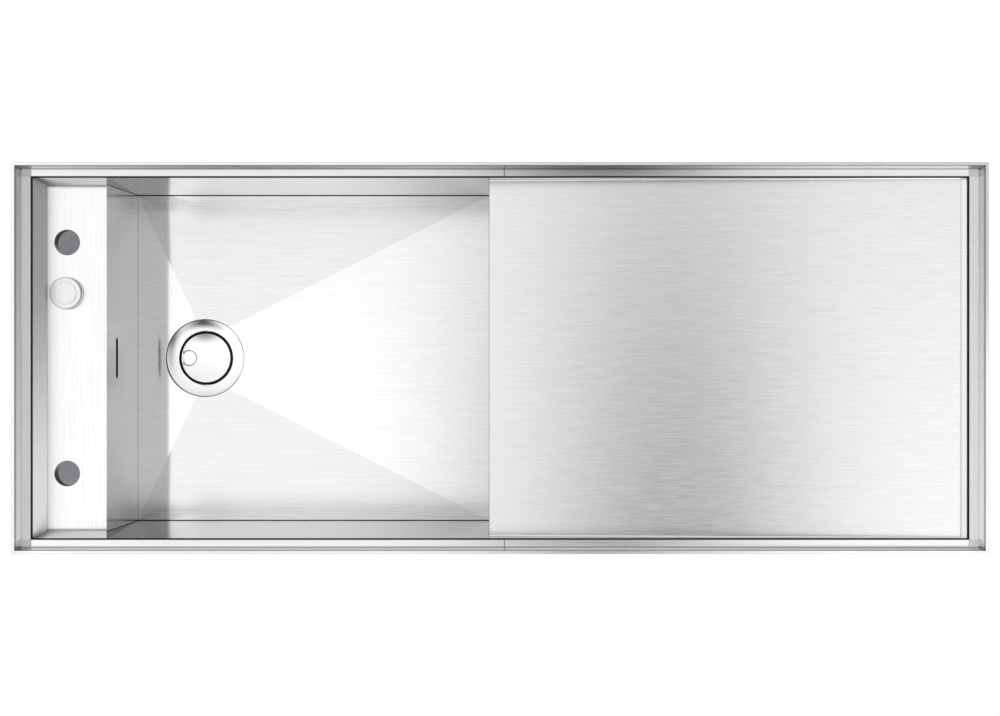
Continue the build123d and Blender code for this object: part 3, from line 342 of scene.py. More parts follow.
# Tap-hole collars painted near black, as painted shade inside the holes
COLLAR_SHADE_FINISH = {"tone": 0.20, "roughness": 0.30}
KNOB_FINISH = {"tone": 0.88, "roughness": 0.40}
PLATED_FINISH = {
    "tone": 0.62,
    "roughness": 0.36,
    "scale": 320.0,
    "spread": 0.05,
    "tint": (1.0, 1.01, 1.03),
}
BRASS_FINISH = {
    "tone": 0.74,
    "roughness": 0.28,
    "scale": 420.0,
    "spread": 0.04,
    "tint": (1.0, 0.80, 0.42),
}
WELD_FINISH = {
    "tone": 0.60,
    "roughness": 0.34,
    "scale": 180.0,
    "spread": 0.10,
    "tint": (1.0, 0.97, 0.92),
}

# Rubber, plastics and damping pads: grain, painted shade in cavities, and the finish of each
DULL_DETAIL = 4.0
DULL_ROUGHNESS = 0.6
DULL_GLOSS_SPREAD = 0.06
DULL_RELIEF = 0.4
DULL_GLOSS = 0.5
CAVITY_SHADE = 0.04
RUBBER_FINISH = {
    "color": (0.010, 0.010, 0.010),
    "spread": 0.003,
    "roughness": 0.75,
    "scale": 900.0,
    "depth": 0.04 * MM,
    "gloss": 0.12,
}
PLASTIC_FINISH = {
    "color": (0.42, 0.43, 0.44),
    "spread": 0.02,
    "roughness": 0.42,
    "scale": 700.0,
    "depth": 0.03 * MM,
    "reach": 30.0 * MM,
}
# The overflow housing is painted near black inside, as painted shade that darkens the slot
HOUSING_FINISH = PLASTIC_FINISH | {
    "roughness": 0.55,
    "gloss": 0.08,
    "reach": 45.0 * MM,
    "cavity_shade": 0.005,
}
PAD_FINISH = {
    "color": (0.16, 0.16, 0.165),
    "spread": 0.03,
    "roughness": 0.80,
    "scale": 260.0,
    "depth": 0.4 * MM,
}

# Studio: overhead light by tangents of its direction, with a dim band beside its middle
# and a dim patch to the front
SKY_LEVEL = 1.20
SKY_RIGHT_LEVEL = 1.15
SKY_RIGHT_END = 0.28
SKY_LEFT_LEVEL = 1.25
SKY_LEFT_START = -0.28
SKY_LEFT_END = -0.38
SKY_SIDE_LEVEL = 0.80
SKY_SIDE_START = 0.35
SKY_SIDE_END = 0.70
BAND_CENTRE = 0.0875
BAND_WIDTH = 0.115
BAND_DEPTH = 0.49
BAND_FADE = 1.35
BAND_LEAST = 0.05
BAND_MOST = 0.85
BAND_FRONT_START = -0.36
BAND_FRONT_END = -0.60
PATCH_START = -0.18
PATCH_FULL = -0.50
PATCH_DEPTH = 0.93
PATCH_ACROSS = -0.25
PATCH_SPREAD = 0.20
PATCH_FRONT_START = -1.1
PATCH_FRONT_END = -1.6
SLANT_LEFT = 0.45
SLANT_RIGHT = 0.8
SLANT_START = 0.20
SLANT_END = 0.32
SLANT_LIMIT = 0.3
LOW_SKY_LEVEL = 0.70
LOW_SKY_START = 0.20
LOW_SKY_END = 0.60
HORIZON_LEVEL = 0.12
HORIZON_LOW = -0.05
HORIZON_HIGH = 0.10
LOWEST_RISE = 0.02

# Stage: dark grey floor below the sink, as painted shadow on top of the sink's own shadow, white
# where it is clear of it
STAGE_DROP = 0.004
STAGE_SIZE = 14.0
STAGE_SHADOW_COLOR = (0.27, 0.259, 0.278, 1.0)
STAGE_ROUGHNESS = 0.9
SHADE_HALF = (0.700, 0.190)
SHADE_END = (0.760, 0.306)

AXES = {"x": 0, "y": 1, "z": 2}
EVEN = (1.0, 1.0, 1.0)
UP = Vector((0.0, 0.0, 1.0))


class Graph:
    """Adds nodes to a tree and links them."""

    def __init__(self, tree):
        self.tree = tree

    def put(self, socket, value):
        """Links a socket to another, or sets its value."""
        if isinstance(value, bpy.types.NodeSocket):
            self.tree.links.new(value, socket)
        else:
            socket.default_value = value

    def add(self, kind, settings=None, **inputs):
        """Node with its settings and its inputs by name."""
        node = self.tree.nodes.new("ShaderNode" + kind)
        for name, value in (settings or {}).items():
            setattr(node, name, value)
        for name, value in inputs.items():
            self.put(node.inputs[name.replace("_", " ")], value)
        return node

    def math(self, operation, first, second=0.0):
        node = self.add("Math", {"operation": operation})
        self.put(node.inputs[0], first)
        self.put(node.inputs[1], second)
        return node.outputs[0]

    def times(self, *factors):
        product = factors[0]
        for factor in factors[1:]:
            product = self.math("MULTIPLY", product, factor)
        return product

    def vector(self, operation, first, second=(0.0, 0.0, 0.0)):
        node = self.add("VectorMath", {"operation": operation})
        self.put(node.inputs[0], first)
        self.put(node.inputs[1], second)
        return node.outputs[0]

    def ramp(self, value, start, end, low=0.0, high=1.0):
        """Value taken from one range to another with soft ends."""
        node = self.add(
            "MapRange",
            {"interpolation_type": "SMOOTHSTEP"},
            From_Min=start,
            From_Max=end,
            To_Min=low,
            To_Max=high,
        )
        self.put(node.inputs["Value"], value)
        return node.outputs["Result"]

    def bell(self, value, centre, width):
        """Smooth hump of height 1 round a centre."""
        offset = self.math("DIVIDE", self.math("SUBTRACT", value, centre), width)
        return self.math("POWER", math.e, self.times(offset, offset, -1.0))

    def span(self, value, start, end):
        """1 between two limits and 0 outside them."""
        after = self.ramp(value, start - SOFT, start)
        before = self.ramp(value, end, end + SOFT, 1.0, 0.0)
        return self.times(after, before)

    def less(self, share):
        """What is left of 1."""
        return self.math("SUBTRACT", 1.0, share)

    def blend(self, first, second, share):
        """First value, which gives way to the second by a share."""
        kept = self.times(first, self.less(share))
        return self.math("ADD", kept, self.times(second, share))

    def clamp(self, value, low, high):
        return self.math("MINIMUM", self.math("MAXIMUM", value, low), high)

    def size(self, value):
        return self.math("ABSOLUTE", value)

    def length(self, first, second):
        """Distance over two sides at right angles."""
        squares = [self.times(side, side) for side in (first, second)]
        return self.math("SQRT", self.math("ADD", *squares))

    def grey(self, value):
        return self.add("CombineColor", Red=value, Green=value, Blue=value).outputs[0]

    def mix(self, factor, first, second):
        node = self.add("MixRGB", Fac=factor, Color1=first, Color2=second)
        return node.outputs[0]

    def parts(self, vector):
        node = self.add("SeparateXYZ", Vector=vector)
        return [node.outputs[i] for i in range(3)]

    def place(self):
        """Coordinates on the part."""
        return self.parts(self.add("TexCoord").outputs["Object"])

    def normal(self):
        return self.add("NewGeometry").outputs["Normal"]

    def facing(self, axis):
        """1 on faces square to an axis and 0 on faces along it."""
        across = self.size(self.parts(self.normal())[AXES[axis]])
        return self.ramp(across, SQUARE_LOW, SQUARE_HIGH)

    def noise(self, scale, detail=NOISE_DETAIL, roughness=NOISE_ROUGHNESS):
        """Noise stretched by a scale for each axis."""
        coords = self.add("TexCoord").outputs["Object"]
        place = self.add("Mapping", Vector=coords, Scale=scale).outputs[0]
        node = self.add("TexNoise", Vector=place, Scale=1.0, Detail=detail, Roughness=roughness)
        return node.outputs["Fac"]

    def spread(self, noise, low=0.0, high=1.0):
        """Noise spread over a range of values."""
        return self.ramp(noise, NOISE_LOW, NOISE_HIGH, low, high)


def new_material(name):
    """Empty material with its graph and its surface shader."""
    material = bpy.data.materials.new(name)
    material.use_nodes = True
    graph = Graph(material.node_tree)
    return material, graph, material.node_tree.nodes["Principled BSDF"]


def grain(graph, axis, along, across):
    """Streaks that run along one axis."""
    scale = [across] * len(AXES)
    scale[AXES[axis]] = along
    return graph.noise(scale)


# Shades: factors on the steel's tone, mostly painted shade, painted shadow, painted reflection and
# painted highlight, with some dark joints
def painted_occlusion_shade(graph, reach=SEAM_REACH, dark=SEAM_SHADE):
    """Painted shade close to inner corners, where sheets meet."""
    node = graph.add("AmbientOcclusion", {"samples": SEAM_SAMPLES}, Distance=reach)
    return graph.ramp(node.outputs["AO"], SEAM_CLOSED, SEAM_OPEN, dark, 1.0)


def inner_only(shade):
    """Painted shade that acts on the faces seen from inside the sink alone."""

    def masked(graph):
        facing = graph.parts(graph.normal())
        place = graph.place()
        aside = [graph.times(facing[axis], place[axis]) for axis in range(2)]
        outward = graph.math("ADD", *aside)
        inward = graph.math("SUBTRACT", graph.times(facing[2], FACING_UP), outward)
        mask = graph.ramp(inward, -FACING_SOFT, FACING_SOFT)
        return graph.less(graph.times(mask, graph.less(shade(graph))))

    return masked


def floor_shade(graph):
    """Dark rear and front joints, painted shade on the planes beside them, a painted highlight at
    the left corners.
    """
    x, y, _ = graph.place()
    limit = FLOOR_HIGH.y - JOINT_WIDTH
    joint = graph.ramp(graph.size(y), limit - JOINT_SOFTNESS, limit, 1.0, 0.0)
    lean = graph.size(graph.parts(graph.normal())[1])
    plane = graph.ramp(lean, FLOOR_LEAN_START, FLOOR_LEAN_END, 1.0, FLOOR_SIDE_SHADE)
    right = graph.ramp(x, FLOOR_RIGHT_START, FLOOR_HIGH.x, 1.0, FLOOR_RIGHT_SHADE)
    near = graph.ramp(graph.size(y), FLOOR_CORNER_START, FLOOR_CORNER_END)
    near = graph.times(near, graph.bell(x, FLOOR_LOW.x + FLOOR_CORNER_X, FLOOR_CORNER_WIDTH))
    corner = graph.math("ADD", 1.0, graph.times(near, FLOOR_CORNER_HIGHLIGHT))
    return graph.times(joint, plane, right, corner)


def drainer_shade(graph):
    """Painted shade along the drainer's folded edge beside the bowl."""
    limit = DRAINER_LOW.x + JOINT_WIDTH
    return graph.ramp(graph.place()[0], limit - JOINT_SOFTNESS, limit, DRAINER_EDGE_SHADE, 1.0)


def fold_shade(graph):
    """Painted shade line where the rim's flange folds down into the step, and a faint painted
    outline at its outer edge.
    """
    place = [graph.size(part) for part in graph.place()]
    lines = []
    for axis in range(2):
        fold = RIM_HIGH[axis] - RIM_FLANGE
        distance = graph.size(graph.math("SUBTRACT", place[axis], fold))
        line = graph.ramp(distance, FOLD_WIDTH / 2, FOLD_WIDTH, FOLD_SHADE, 1.0)
        other = 1 - axis
        past = RIM_HIGH[other] - RIM_FLANGE + FOLD_WIDTH
        beyond = graph.ramp(place[other], past, past + SOFT)
        edge = RIM_HIGH[axis] - EDGE_WIDTH
        outline = graph.ramp(place[axis], edge, edge + SOFT, 1.0, EDGE_SHADE)
        lines.append(graph.times(graph.math("MAXIMUM", line, beyond), outline))
    return graph.math("MINIMUM", *lines)


def mitre_shade(graph):
    """Painted shade line where two steps of the rim meet at a corner."""
    place = graph.place()
    inward = []
    for axis in range(2):
        fold = RIM_HIGH[axis] - RIM_FLANGE
        inward.append(graph.math("SUBTRACT", fold, graph.size(place[axis])))
    gap = graph.size(graph.math("SUBTRACT", *inward))
    line = graph.ramp(gap, MITRE_WIDTH / 2, MITRE_WIDTH, MITRE_SHADE, 1.0)
    inside = graph.ramp(graph.math("MAXIMUM", *inward), STEP_DRAFT, STEP_DRAFT + SOFT)
    outside = graph.ramp(graph.math("MINIMUM", *inward), -SOFT, 0.0, 1.0, 0.0)
    return graph.math("MAXIMUM", line, graph.math("MAXIMUM", inside, outside))


def end_shade(ledge_tone, flange_tones):
    """End rail: step, ledge and corner squares painted darker, and a flange painted from front to
    rear, as painted reflection.
    """

    def shade(graph):
        place = graph.place()
        sizes = [graph.size(part) for part in place]
        folds = [RIM_HIGH[axis] - RIM_FLANGE for axis in range(2)]
        foot = folds[0] - STEP_DRAFT
        step = graph.ramp(sizes[0], foot - SOFT, foot, ledge_tone, STEP_TONE)
        corner = graph.ramp(sizes[1], FLOOR_HIGH.y - SOFT, FLOOR_HIGH.y, 1.0, CORNER_TONE)
        slope = graph.ramp(place[1], FLOOR_LOW.y, FLOOR_HIGH.y, 1.0 + END_SLOPE, 1.0 - END_SLOPE)
        inside = graph.times(step, corner, slope)
        beyond = [graph.ramp(sizes[axis], folds[axis], folds[axis] + SOFT) for axis in range(2)]
        flange = graph.math("MAXIMUM", *beyond)
        tone = graph.ramp(place[1], FLANGE_LIGHT_END, FLANGE_DARK_START, *flange_tones)
        return graph.blend(inside, tone, flange)

    return shade


def long_step(face_shade):
    """Step of a long rail: painted shade line along its foot, and a face painted slightly darker.
    """

    def shade(graph):
        edge = graph.size(graph.place()[1])
        fold = RIM_HIGH.y - RIM_FLANGE
        foot = fold - STEP_DRAFT
        line = graph.times(graph.span(edge, foot - FOOT_WIDTH, foot), FOOT_SHADE)
        face = graph.times(graph.span(edge, foot, fold), face_shade)
        return graph.less(graph.math("MAXIMUM", line, face))

    return shade


def butt_shade(graph):
    """Dark line where the two lengths of a long rail meet on the ledge."""
    x, y, _ = graph.place()
    gap = graph.size(graph.math("SUBTRACT", x, RAIL_HIGH.x))
    line = graph.ramp(gap, BUTT_WIDTH / 2, BUTT_WIDTH, BUTT_DARK, 1.0)
    foot = RIM_HIGH.y - RIM_FLANGE - STEP_DRAFT
    return graph.math("MAXIMUM", line, graph.ramp(graph.size(y), foot - SOFT, foot))


def rear_dip(graph):
    """Stretch of the rear rim painted darker, and a flange painted darker to the right, as painted
    reflection.
    """
    x, y, _ = graph.place()
    fold = RIM_HIGH.y - RIM_FLANGE
    flange = graph.ramp(y, fold, fold + SOFT)
    hump = graph.less(graph.times(graph.bell(x, DIP_CENTRE, DIP_WIDTH), DIP_DEPTH))
    painted_shade = graph.ramp(x, FLANGE_SHADE_START, FLANGE_SHADE_END, 1.0, FLANGE_SHADE)
    return graph.blend(hump, painted_shade, flange)


def wall_shade(shade_left):
    """Long wall painted darker towards both ends, with a slanting edge and a dip at the left, as
    painted reflection.
    """

    def shade(graph):
        x, _, z = graph.place()
        rise = graph.math("SUBTRACT", z, FLOOR_HIGH.z)
        slanted = graph.math("SUBTRACT", x, graph.times(rise, WALL_SLANT))
        edge = [FLOOR_LOW.x + reach for reach in (WALL_EDGE_START, WALL_EDGE_END)]
        left = graph.ramp(slanted, *edge, shade_left, 1.0)
        right = graph.ramp(x, FLOOR_HIGH.x - WALL_RIGHT_REACH, FLOOR_HIGH.x, 1.0, WALL_SHADE_RIGHT)
        near = graph.bell(x, FLOOR_LOW.x + WALL_CORNER_X, WALL_CORNER_WIDTH)
        return graph.times(left, right, graph.less(graph.times(near, WALL_CORNER_DIP)))

    return shade


def tongue_shade(tone):
    """Panel painted darker near its corner and on its tongue, with a painted shade line down the
    bowl's corner.
    """

    def shade(graph):
        x, _, z = graph.place()
        corner = graph.ramp(x, RECESS_HIGH.x, RECESS_HIGH.x + CORNER_REACH, CORNER_SHADE, 1.0)
        rise = graph.math("MAXIMUM", graph.math("SUBTRACT", z, SHELF_HIGH.z), 0.0)
        slanted = graph.math("SUBTRACT", x, graph.times(rise, TONGUE_SLANT))
        past = graph.ramp(slanted, LEFT_HIGH.x - SOFT, LEFT_HIGH.x, 1.0, tone)
        end = LEFT_HIGH.x + TONGUE_LINE
        line = graph.ramp(x, end, end + SOFT, TONGUE_LINE_TONE, 1.0)
        above = graph.ramp(z, SHELF_HIGH.z - SOFT, SHELF_HIGH.z)
        return graph.times(corner, past, graph.math("MAXIMUM", line, above))

    return shade


def slot_shade(graph):
    """Cut edges and rim of the overflow slot painted near black, as painted shade in the slot."""
    _, y, z = graph.place()
    across = graph.span(y, GASKET_LOW.y, GASKET_HIGH.y)
    high = graph.span(z, GASKET_LOW.z, GASKET_HIGH.z)
    edge = graph.times(graph.less(graph.facing("x")), across, high)
    middle = (GASKET_LOW + GASKET_HIGH) / 2
    radius = (GASKET_HIGH.z - GASKET_LOW.z) / 2 - SLOT_MARGIN
    straight = (GASKET_HIGH.y - GASKET_LOW.y) / 2 - SLOT_MARGIN - radius
    past = graph.math("MAXIMUM", graph.math("SUBTRACT", graph.size(y), straight), 0.0)
    reach = graph.length(past, graph.math("SUBTRACT", z, middle.z))
    rim = graph.ramp(reach, radius + SLOT_RIM / 2, radius + SLOT_RIM, 1.0, 0.0)
    return graph.less(graph.times(graph.math("MAXIMUM", edge, rim), 1.0 - SLOT_SHADE))


def recess_shade(graph):
    """Recess wall painted lighter from rear to front, and painted darker again at its front corner,
    as painted reflection.
    """
    y = graph.place()[1]
    slope = graph.ramp(y, RECESS_SHADE_FRONT, RECESS_SHADE_REAR, 1.0, RECESS_SHADE)
    corner = graph.ramp(y, RECESS_LOW.y, RECESS_LOW.y + CORNER_REACH, CORNER_SHADE, 1.0)
    return graph.times(slope, corner)


def ring_line(graph, middle_x, middle_y, radius, width, dark):
    """Thin painted shade line in a circle seen from above."""
    x, y, _ = graph.place()
    across = graph.math("SUBTRACT", x, middle_x)
    deep = graph.math("SUBTRACT", y, middle_y)
    distance = graph.size(graph.math("SUBTRACT", graph.length(across, deep), radius))
    return graph.ramp(distance, width / 2, width, dark, 1.0)


def shelf_shade(graph):
    """Painted shadow on the shelf round the knob and along the recess wall."""
    return painted_occlusion_shade(graph, SHELF_SHADOW_REACH, SHELF_SHADOW)


def pocket_line(graph):
    """Painted shade line round the plug's finger pocket."""
    middle = (FLANGE_LOW + FLANGE_HIGH) / 2
    place = (middle.x - POCKET_OFFSET, middle.y)
    return ring_line(graph, *place, POCKET_LINE_RADIUS, POCKET_LINE, POCKET_LINE_SHADE)


def knob_shade(graph):
    """Knob painted darker to the right, with flanks painted darker upwards and a painted shade line
    round its disc.
    """
    x, _, z = graph.place()
    sideways = graph.ramp(x, KNOB_LOW.x, KNOB_HIGH.x, 1.0, KNOB_RIGHT_TONE)
    flank = graph.ramp(z, KNOB_LOW.z, KNOB_HIGH.z - KNOB_CROWN, FLANK_LOW_TONE, FLANK_HIGH_TONE)
    upright = graph.blend(flank, 1.0, graph.facing("z"))
    middle = (KNOB_LOW + KNOB_HIGH) / 2
    ring = ring_line(graph, middle.x, middle.y, KNOB_DISC_RADIUS, KNOB_LINE, KNOB_LINE_SHADE)
    return graph.times(sideways, upright, ring, painted_occlusion_shade(graph))


# Bends: normals that carry the gloss of slightly dished sheets
def bent_normal(graph, scale=EVEN, lean=(0.0, 0.0), lift=0.0):
    """Normal scaled along each axis, leaning along X and Y, and lifted."""
    parts = zip(graph.parts(graph.normal()), scale)
    across, deep, up = [graph.times(part, factor) for part, factor in parts]
    across = graph.math("ADD", across, graph.times(up, lean[0]))
    deep = graph.math("ADD", deep, graph.times(up, lean[1]))
    up = graph.math("ADD", up, lift)
    return graph.vector("NORMALIZE", graph.add("CombineXYZ", X=across, Y=deep, Z=up).outputs[0])


def floor_normal(graph):
    """Bowl floor: even planes, with a dished strip along the left wall."""
    start = FLOOR_LOW.x + FLOOR_LEFT_START
    end = FLOOR_LOW.x + FLOOR_LEFT_END
    lean = graph.ramp(graph.place()[0], start, end, FLOOR_LEFT_LEAN, 0.0)
    return bent_normal(graph, (FLOOR_EVENNESS, FLOOR_EVENNESS, 1.0), (lean, 0.0))


def drainer_normal(graph):
    """Drainer whose rear, front and right edges are rolled up a little."""
    x, y, _ = graph.place()
    end = DRAINER_HIGH.x
    across = graph.ramp(x, end - END_ROLL_START, end - END_ROLL_FULL, 0.0, -EDGE_ROLL)
    limit = DRAINER_HIGH.y
    rear = graph.ramp(y, limit - SIDE_ROLL_START, limit - SIDE_ROLL_FULL, 0.0, -EDGE_ROLL)
    front = graph.ramp(y, SIDE_ROLL_FULL - limit, SIDE_ROLL_START - limit, EDGE_ROLL, 0.0)
    return bent_normal(graph, lean=(across, graph.math("ADD", rear, front)))


shelf_normal = partial(bent_normal, lean=(SHELF_LEAN, 0.0))
left_end_normal = partial(bent_normal, lean=(END_LEAN, 0.0))
right_end_normal = partial(bent_normal, lean=(-END_LEAN, 0.0))
recess_normal = partial(bent_normal, lift=RECESS_LIFT)
flange_normal = partial(bent_normal, scale=FLANGE_BEND)
plug_normal = partial(bent_normal, scale=PLUG_BEND)
side_wall_normal = partial(bent_normal, scale=SIDE_WALL_BEND)


# Materials
def brushed_steel(
    name,
    axis="x",
    tone=STEEL_TONE,
    cross=None,
    shades=(painted_occlusion_shade,),
    bend=Graph.normal,
    roughness=STEEL_ROUGHNESS,
    anisotropy=STEEL_ANISOTROPY,
):
    """Brushed sheet: streaks in colour, gloss and relief along an axis, times painted shades, by
    default at its seams.
    """
    material, graph, surface = new_material(name)
    fine = grain(graph, axis, GRAIN_ALONG, GRAIN_FINE)
    broad = grain(graph, axis, GRAIN_BROAD_ALONG, GRAIN_BROAD)
    fine_part = graph.times(fine, FINE_SHARE)
    streaks = graph.math("ADD", fine_part, graph.times(broad, 1.0 - FINE_SHARE))
    if cross:
        weave = graph.times(grain(graph, cross, GRAIN_ALONG, GRAIN_FINE), WEAVE_SHARE)
        streaks = graph.math("ADD", graph.times(streaks, 1.0 - WEAVE_SHARE), weave)
    level = graph.spread(streaks, tone * (1.0 - STREAK), tone * (1.0 + STREAK))
    level = graph.times(level, *[shade(graph) for shade in shades])
    graph.put(surface.inputs["Base Color"], graph.grey(level))
    rough = graph.ramp(fine, GLOSS_LOW, GLOSS_HIGH, roughness * GLOSSIEST, roughness * DULLEST)
    graph.put(surface.inputs["Roughness"], rough)
    surface.inputs["Metallic"].default_value = 1.0
    surface.inputs["Anisotropic"].default_value = anisotropy
    along = [GRAIN_SKEW] * len(AXES)
    along[AXES[axis]] = 1.0
    graph.put(surface.inputs["Tangent"], graph.vector("CROSS_PRODUCT", graph.normal(), along))
    relief = graph.add("Bump", Strength=STREAK_RELIEF, Distance=STREAK_DEPTH, Height=streaks)
    graph.put(relief.inputs["Normal"], bend(graph))
    graph.put(surface.inputs["Normal"], relief.outputs[0])
    return material


def polished_steel(name, shade=None, bend=Graph.normal):
    """Mirror-polished steel with a faint haze."""
    material, graph, surface = new_material(name)
    haze = graph.noise([HAZE_SCALE] * len(AXES), HAZE_DETAIL)
    level = graph.spread(haze, POLISH_TONE - HAZE_SPREAD, POLISH_TONE + HAZE_SPREAD)
    if shade:
        level = graph.times(level, shade(graph))
    graph.put(surface.inputs["Base Color"], graph.grey(level))
    rough = [POLISH_ROUGHNESS * factor for factor in (HAZE_GLOSSIEST, HAZE_DULLEST)]
    graph.put(surface.inputs["Roughness"], graph.spread(haze, *rough))
    surface.inputs["Metallic"].default_value = 1.0
    graph.put(surface.inputs["Normal"], bend(graph))
    return material


def satin_metal(
    name, tone, roughness, scale=MOTTLE_SCALE, spread=MOTTLE_SPREAD, tint=EVEN, shade=None
):
    """Bead-blasted or plated metal with fine mottling."""
    material, graph, surface = new_material(name)
    mottle = graph.noise([scale] * len(AXES), MOTTLE_DETAIL, MOTTLE_ROUGHNESS)
    low = [(tone - spread) * part for part in tint] + [1.0]
    high = [(tone + spread) * part for part in tint] + [1.0]
    color = graph.mix(graph.spread(mottle), low, high)
    if shade:
        color = graph.vector("MULTIPLY", color, graph.grey(shade(graph)))
    graph.put(surface.inputs["Base Color"], color)
    rough = graph.spread(mottle, roughness - MOTTLE_GLOSSIER, roughness + MOTTLE_DULLER)
    graph.put(surface.inputs["Roughness"], rough)
    surface.inputs["Metallic"].default_value = 1.0
    relief = graph.add("Bump", Strength=MOTTLE_RELIEF, Distance=MOTTLE_DEPTH, Height=mottle)
    graph.put(surface.inputs["Normal"], relief.outputs[0])
    return material


def dull_material(
    name, color, spread, roughness, scale, depth, gloss=DULL_GLOSS, reach=0.0, cavity_shade=CAVITY_SHADE
):
    """Rubber, moulded plastic or bitumen with grain in colour and relief, and painted shade in
    cavities.
    """
    material, graph, surface = new_material(name)
    grains = graph.noise([scale] * len(AXES), DULL_DETAIL, DULL_ROUGHNESS)
    low = [max(part - spread, 0.0) for part in color] + [1.0]
    high = [part + spread for part in color] + [1.0]
    tone = graph.mix(graph.spread(grains), low, high)
    if reach:
        tone = graph.vector("MULTIPLY", tone, graph.grey(painted_occlusion_shade(graph, reach, cavity_shade)))
    graph.put(surface.inputs["Base Color"], tone)
    rough = graph.spread(grains, roughness - DULL_GLOSS_SPREAD, roughness + DULL_GLOSS_SPREAD)
    graph.put(surface.inputs["Roughness"], rough)
    surface.inputs["Specular IOR Level"].default_value = gloss
    relief = graph.add("Bump", Strength=DULL_RELIEF, Distance=depth, Height=grains)
    graph.put(surface.inputs["Normal"], relief.outputs[0])
    return material


def dress(material, *names):
    """Gives solids their material."""
    for name in names:
        slots = NODES[name].data.materials
        slots.clear()
        slots.append(material)


# Each sheet gets its own copy of the steel, in a tone painted lighter or darker to stand in for its
# reflection
def dress_bowl():
    """Dresses the bowl and the drainer."""
    dress(
        brushed_steel("drainer_steel", shades=(painted_occlusion_shade, drainer_shade), bend=drainer_normal),
        "drainer_panel",
    )
    dress(
        brushed_steel(
            "floor_steel",
            tone=FLOOR_TONE,
            shades=(painted_occlusion_shade, inner_only(floor_shade)),
            bend=floor_normal,
            roughness=FLOOR_ROUGHNESS,
        ),
        "bowl_floor",
    )
    walls = (
        ("bowl_rear_panel", "rear_wall_steel", REAR_WALL_TONE, REAR_WALL_SHADE),
        ("bowl_front_panel", "front_wall_steel", FRONT_WALL_TONE, FRONT_WALL_SHADE),
    )
    for node, name, tone, painted_shade in walls:
        shades = (painted_occlusion_shade, inner_only(wall_shade(painted_shade)))
        dress(brushed_steel(name, tone=tone, roughness=WALL_ROUGHNESS, shades=shades), node)
    dress(
        brushed_steel("side_wall_steel", roughness=SIDE_WALL_ROUGHNESS, bend=side_wall_normal),
        "drainer_rear_panel", "drainer_front_panel",
    )
    dress(
        brushed_steel(
            "cross_wall_steel",
            "y",
            CROSS_WALL_TONE,
            cross="z",
            shades=(painted_occlusion_shade, slot_shade),
        ),
        "bowl_left_panel", "bowl_right_panel",
    )
    dress(
        brushed_steel(
            "end_wall_steel",
            "y",
            END_WALL_TONE,
            shades=(),
            roughness=END_WALL_ROUGHNESS,
            anisotropy=0.0,
        ),
        "drainer_end_panel",
    )


def dress_recess():
    """Dresses the tap recess and its shelf."""
    shades = (painted_occlusion_shade, shelf_shade)
    dress(
        brushed_steel("shelf_steel", "y", SHELF_TONE, shades=shades, bend=shelf_normal),
        "tap_shelf",
    )
    rear = tongue_shade(TONGUE_REAR)
    front = tongue_shade(TONGUE_FRONT)
    panels = (
        ("recess_left_panel", "recess_wall_steel", "y", RECESS_TONE, recess_shade),
        ("recess_rear_panel", "recess_rear_steel", "x", RECESS_REAR_TONE, rear),
        ("recess_front_panel", "recess_front_steel", "x", RECESS_FRONT_TONE, front),
    )
    for node, name, axis, tone, shade in panels:
        steel = brushed_steel(
            name,
            axis,
            tone,
            cross="z",
            shades=(painted_occlusion_shade, inner_only(shade)),
            bend=recess_normal,
            roughness=RECESS_ROUGHNESS,
            anisotropy=0.0,
        )
        dress(steel, node)
    dress(satin_metal("collar_steel", **COLLAR_SHADE_FINISH), "tap_hole_collars")


def dress_rim():
    """Dresses the six rails of the rim."""
    edges = (painted_occlusion_shade, fold_shade, mitre_shade)
    rear = edges + (butt_shade, long_step(REAR_FACE_SHADE), rear_dip)
    dress(brushed_steel("rear_rim_steel", shades=rear), "rim_rear_left", "rim_rear_right")
    front = edges + (butt_shade, long_step(FRONT_FACE_SHADE))
    dress(
        brushed_steel("front_rim_steel", tone=FRONT_RIM_TONE, shades=front),
        "rim_front_left", "rim_front_right",
    )
    ends = (
        ("rim_left", "left_rim_steel", LEFT_LEDGE_TONE, LEFT_FLANGE_TONES, left_end_normal),
        ("rim_right", "right_rim_steel", RIGHT_LEDGE_TONE, RIGHT_FLANGE_TONES, right_end_normal),
    )
    for node, name, ledge, flange, bend in ends:
        shades = edges + (end_shade(ledge, flange),)
        dress(brushed_steel(name, "y", END_RIM_TONE, "x", shades, bend), node)


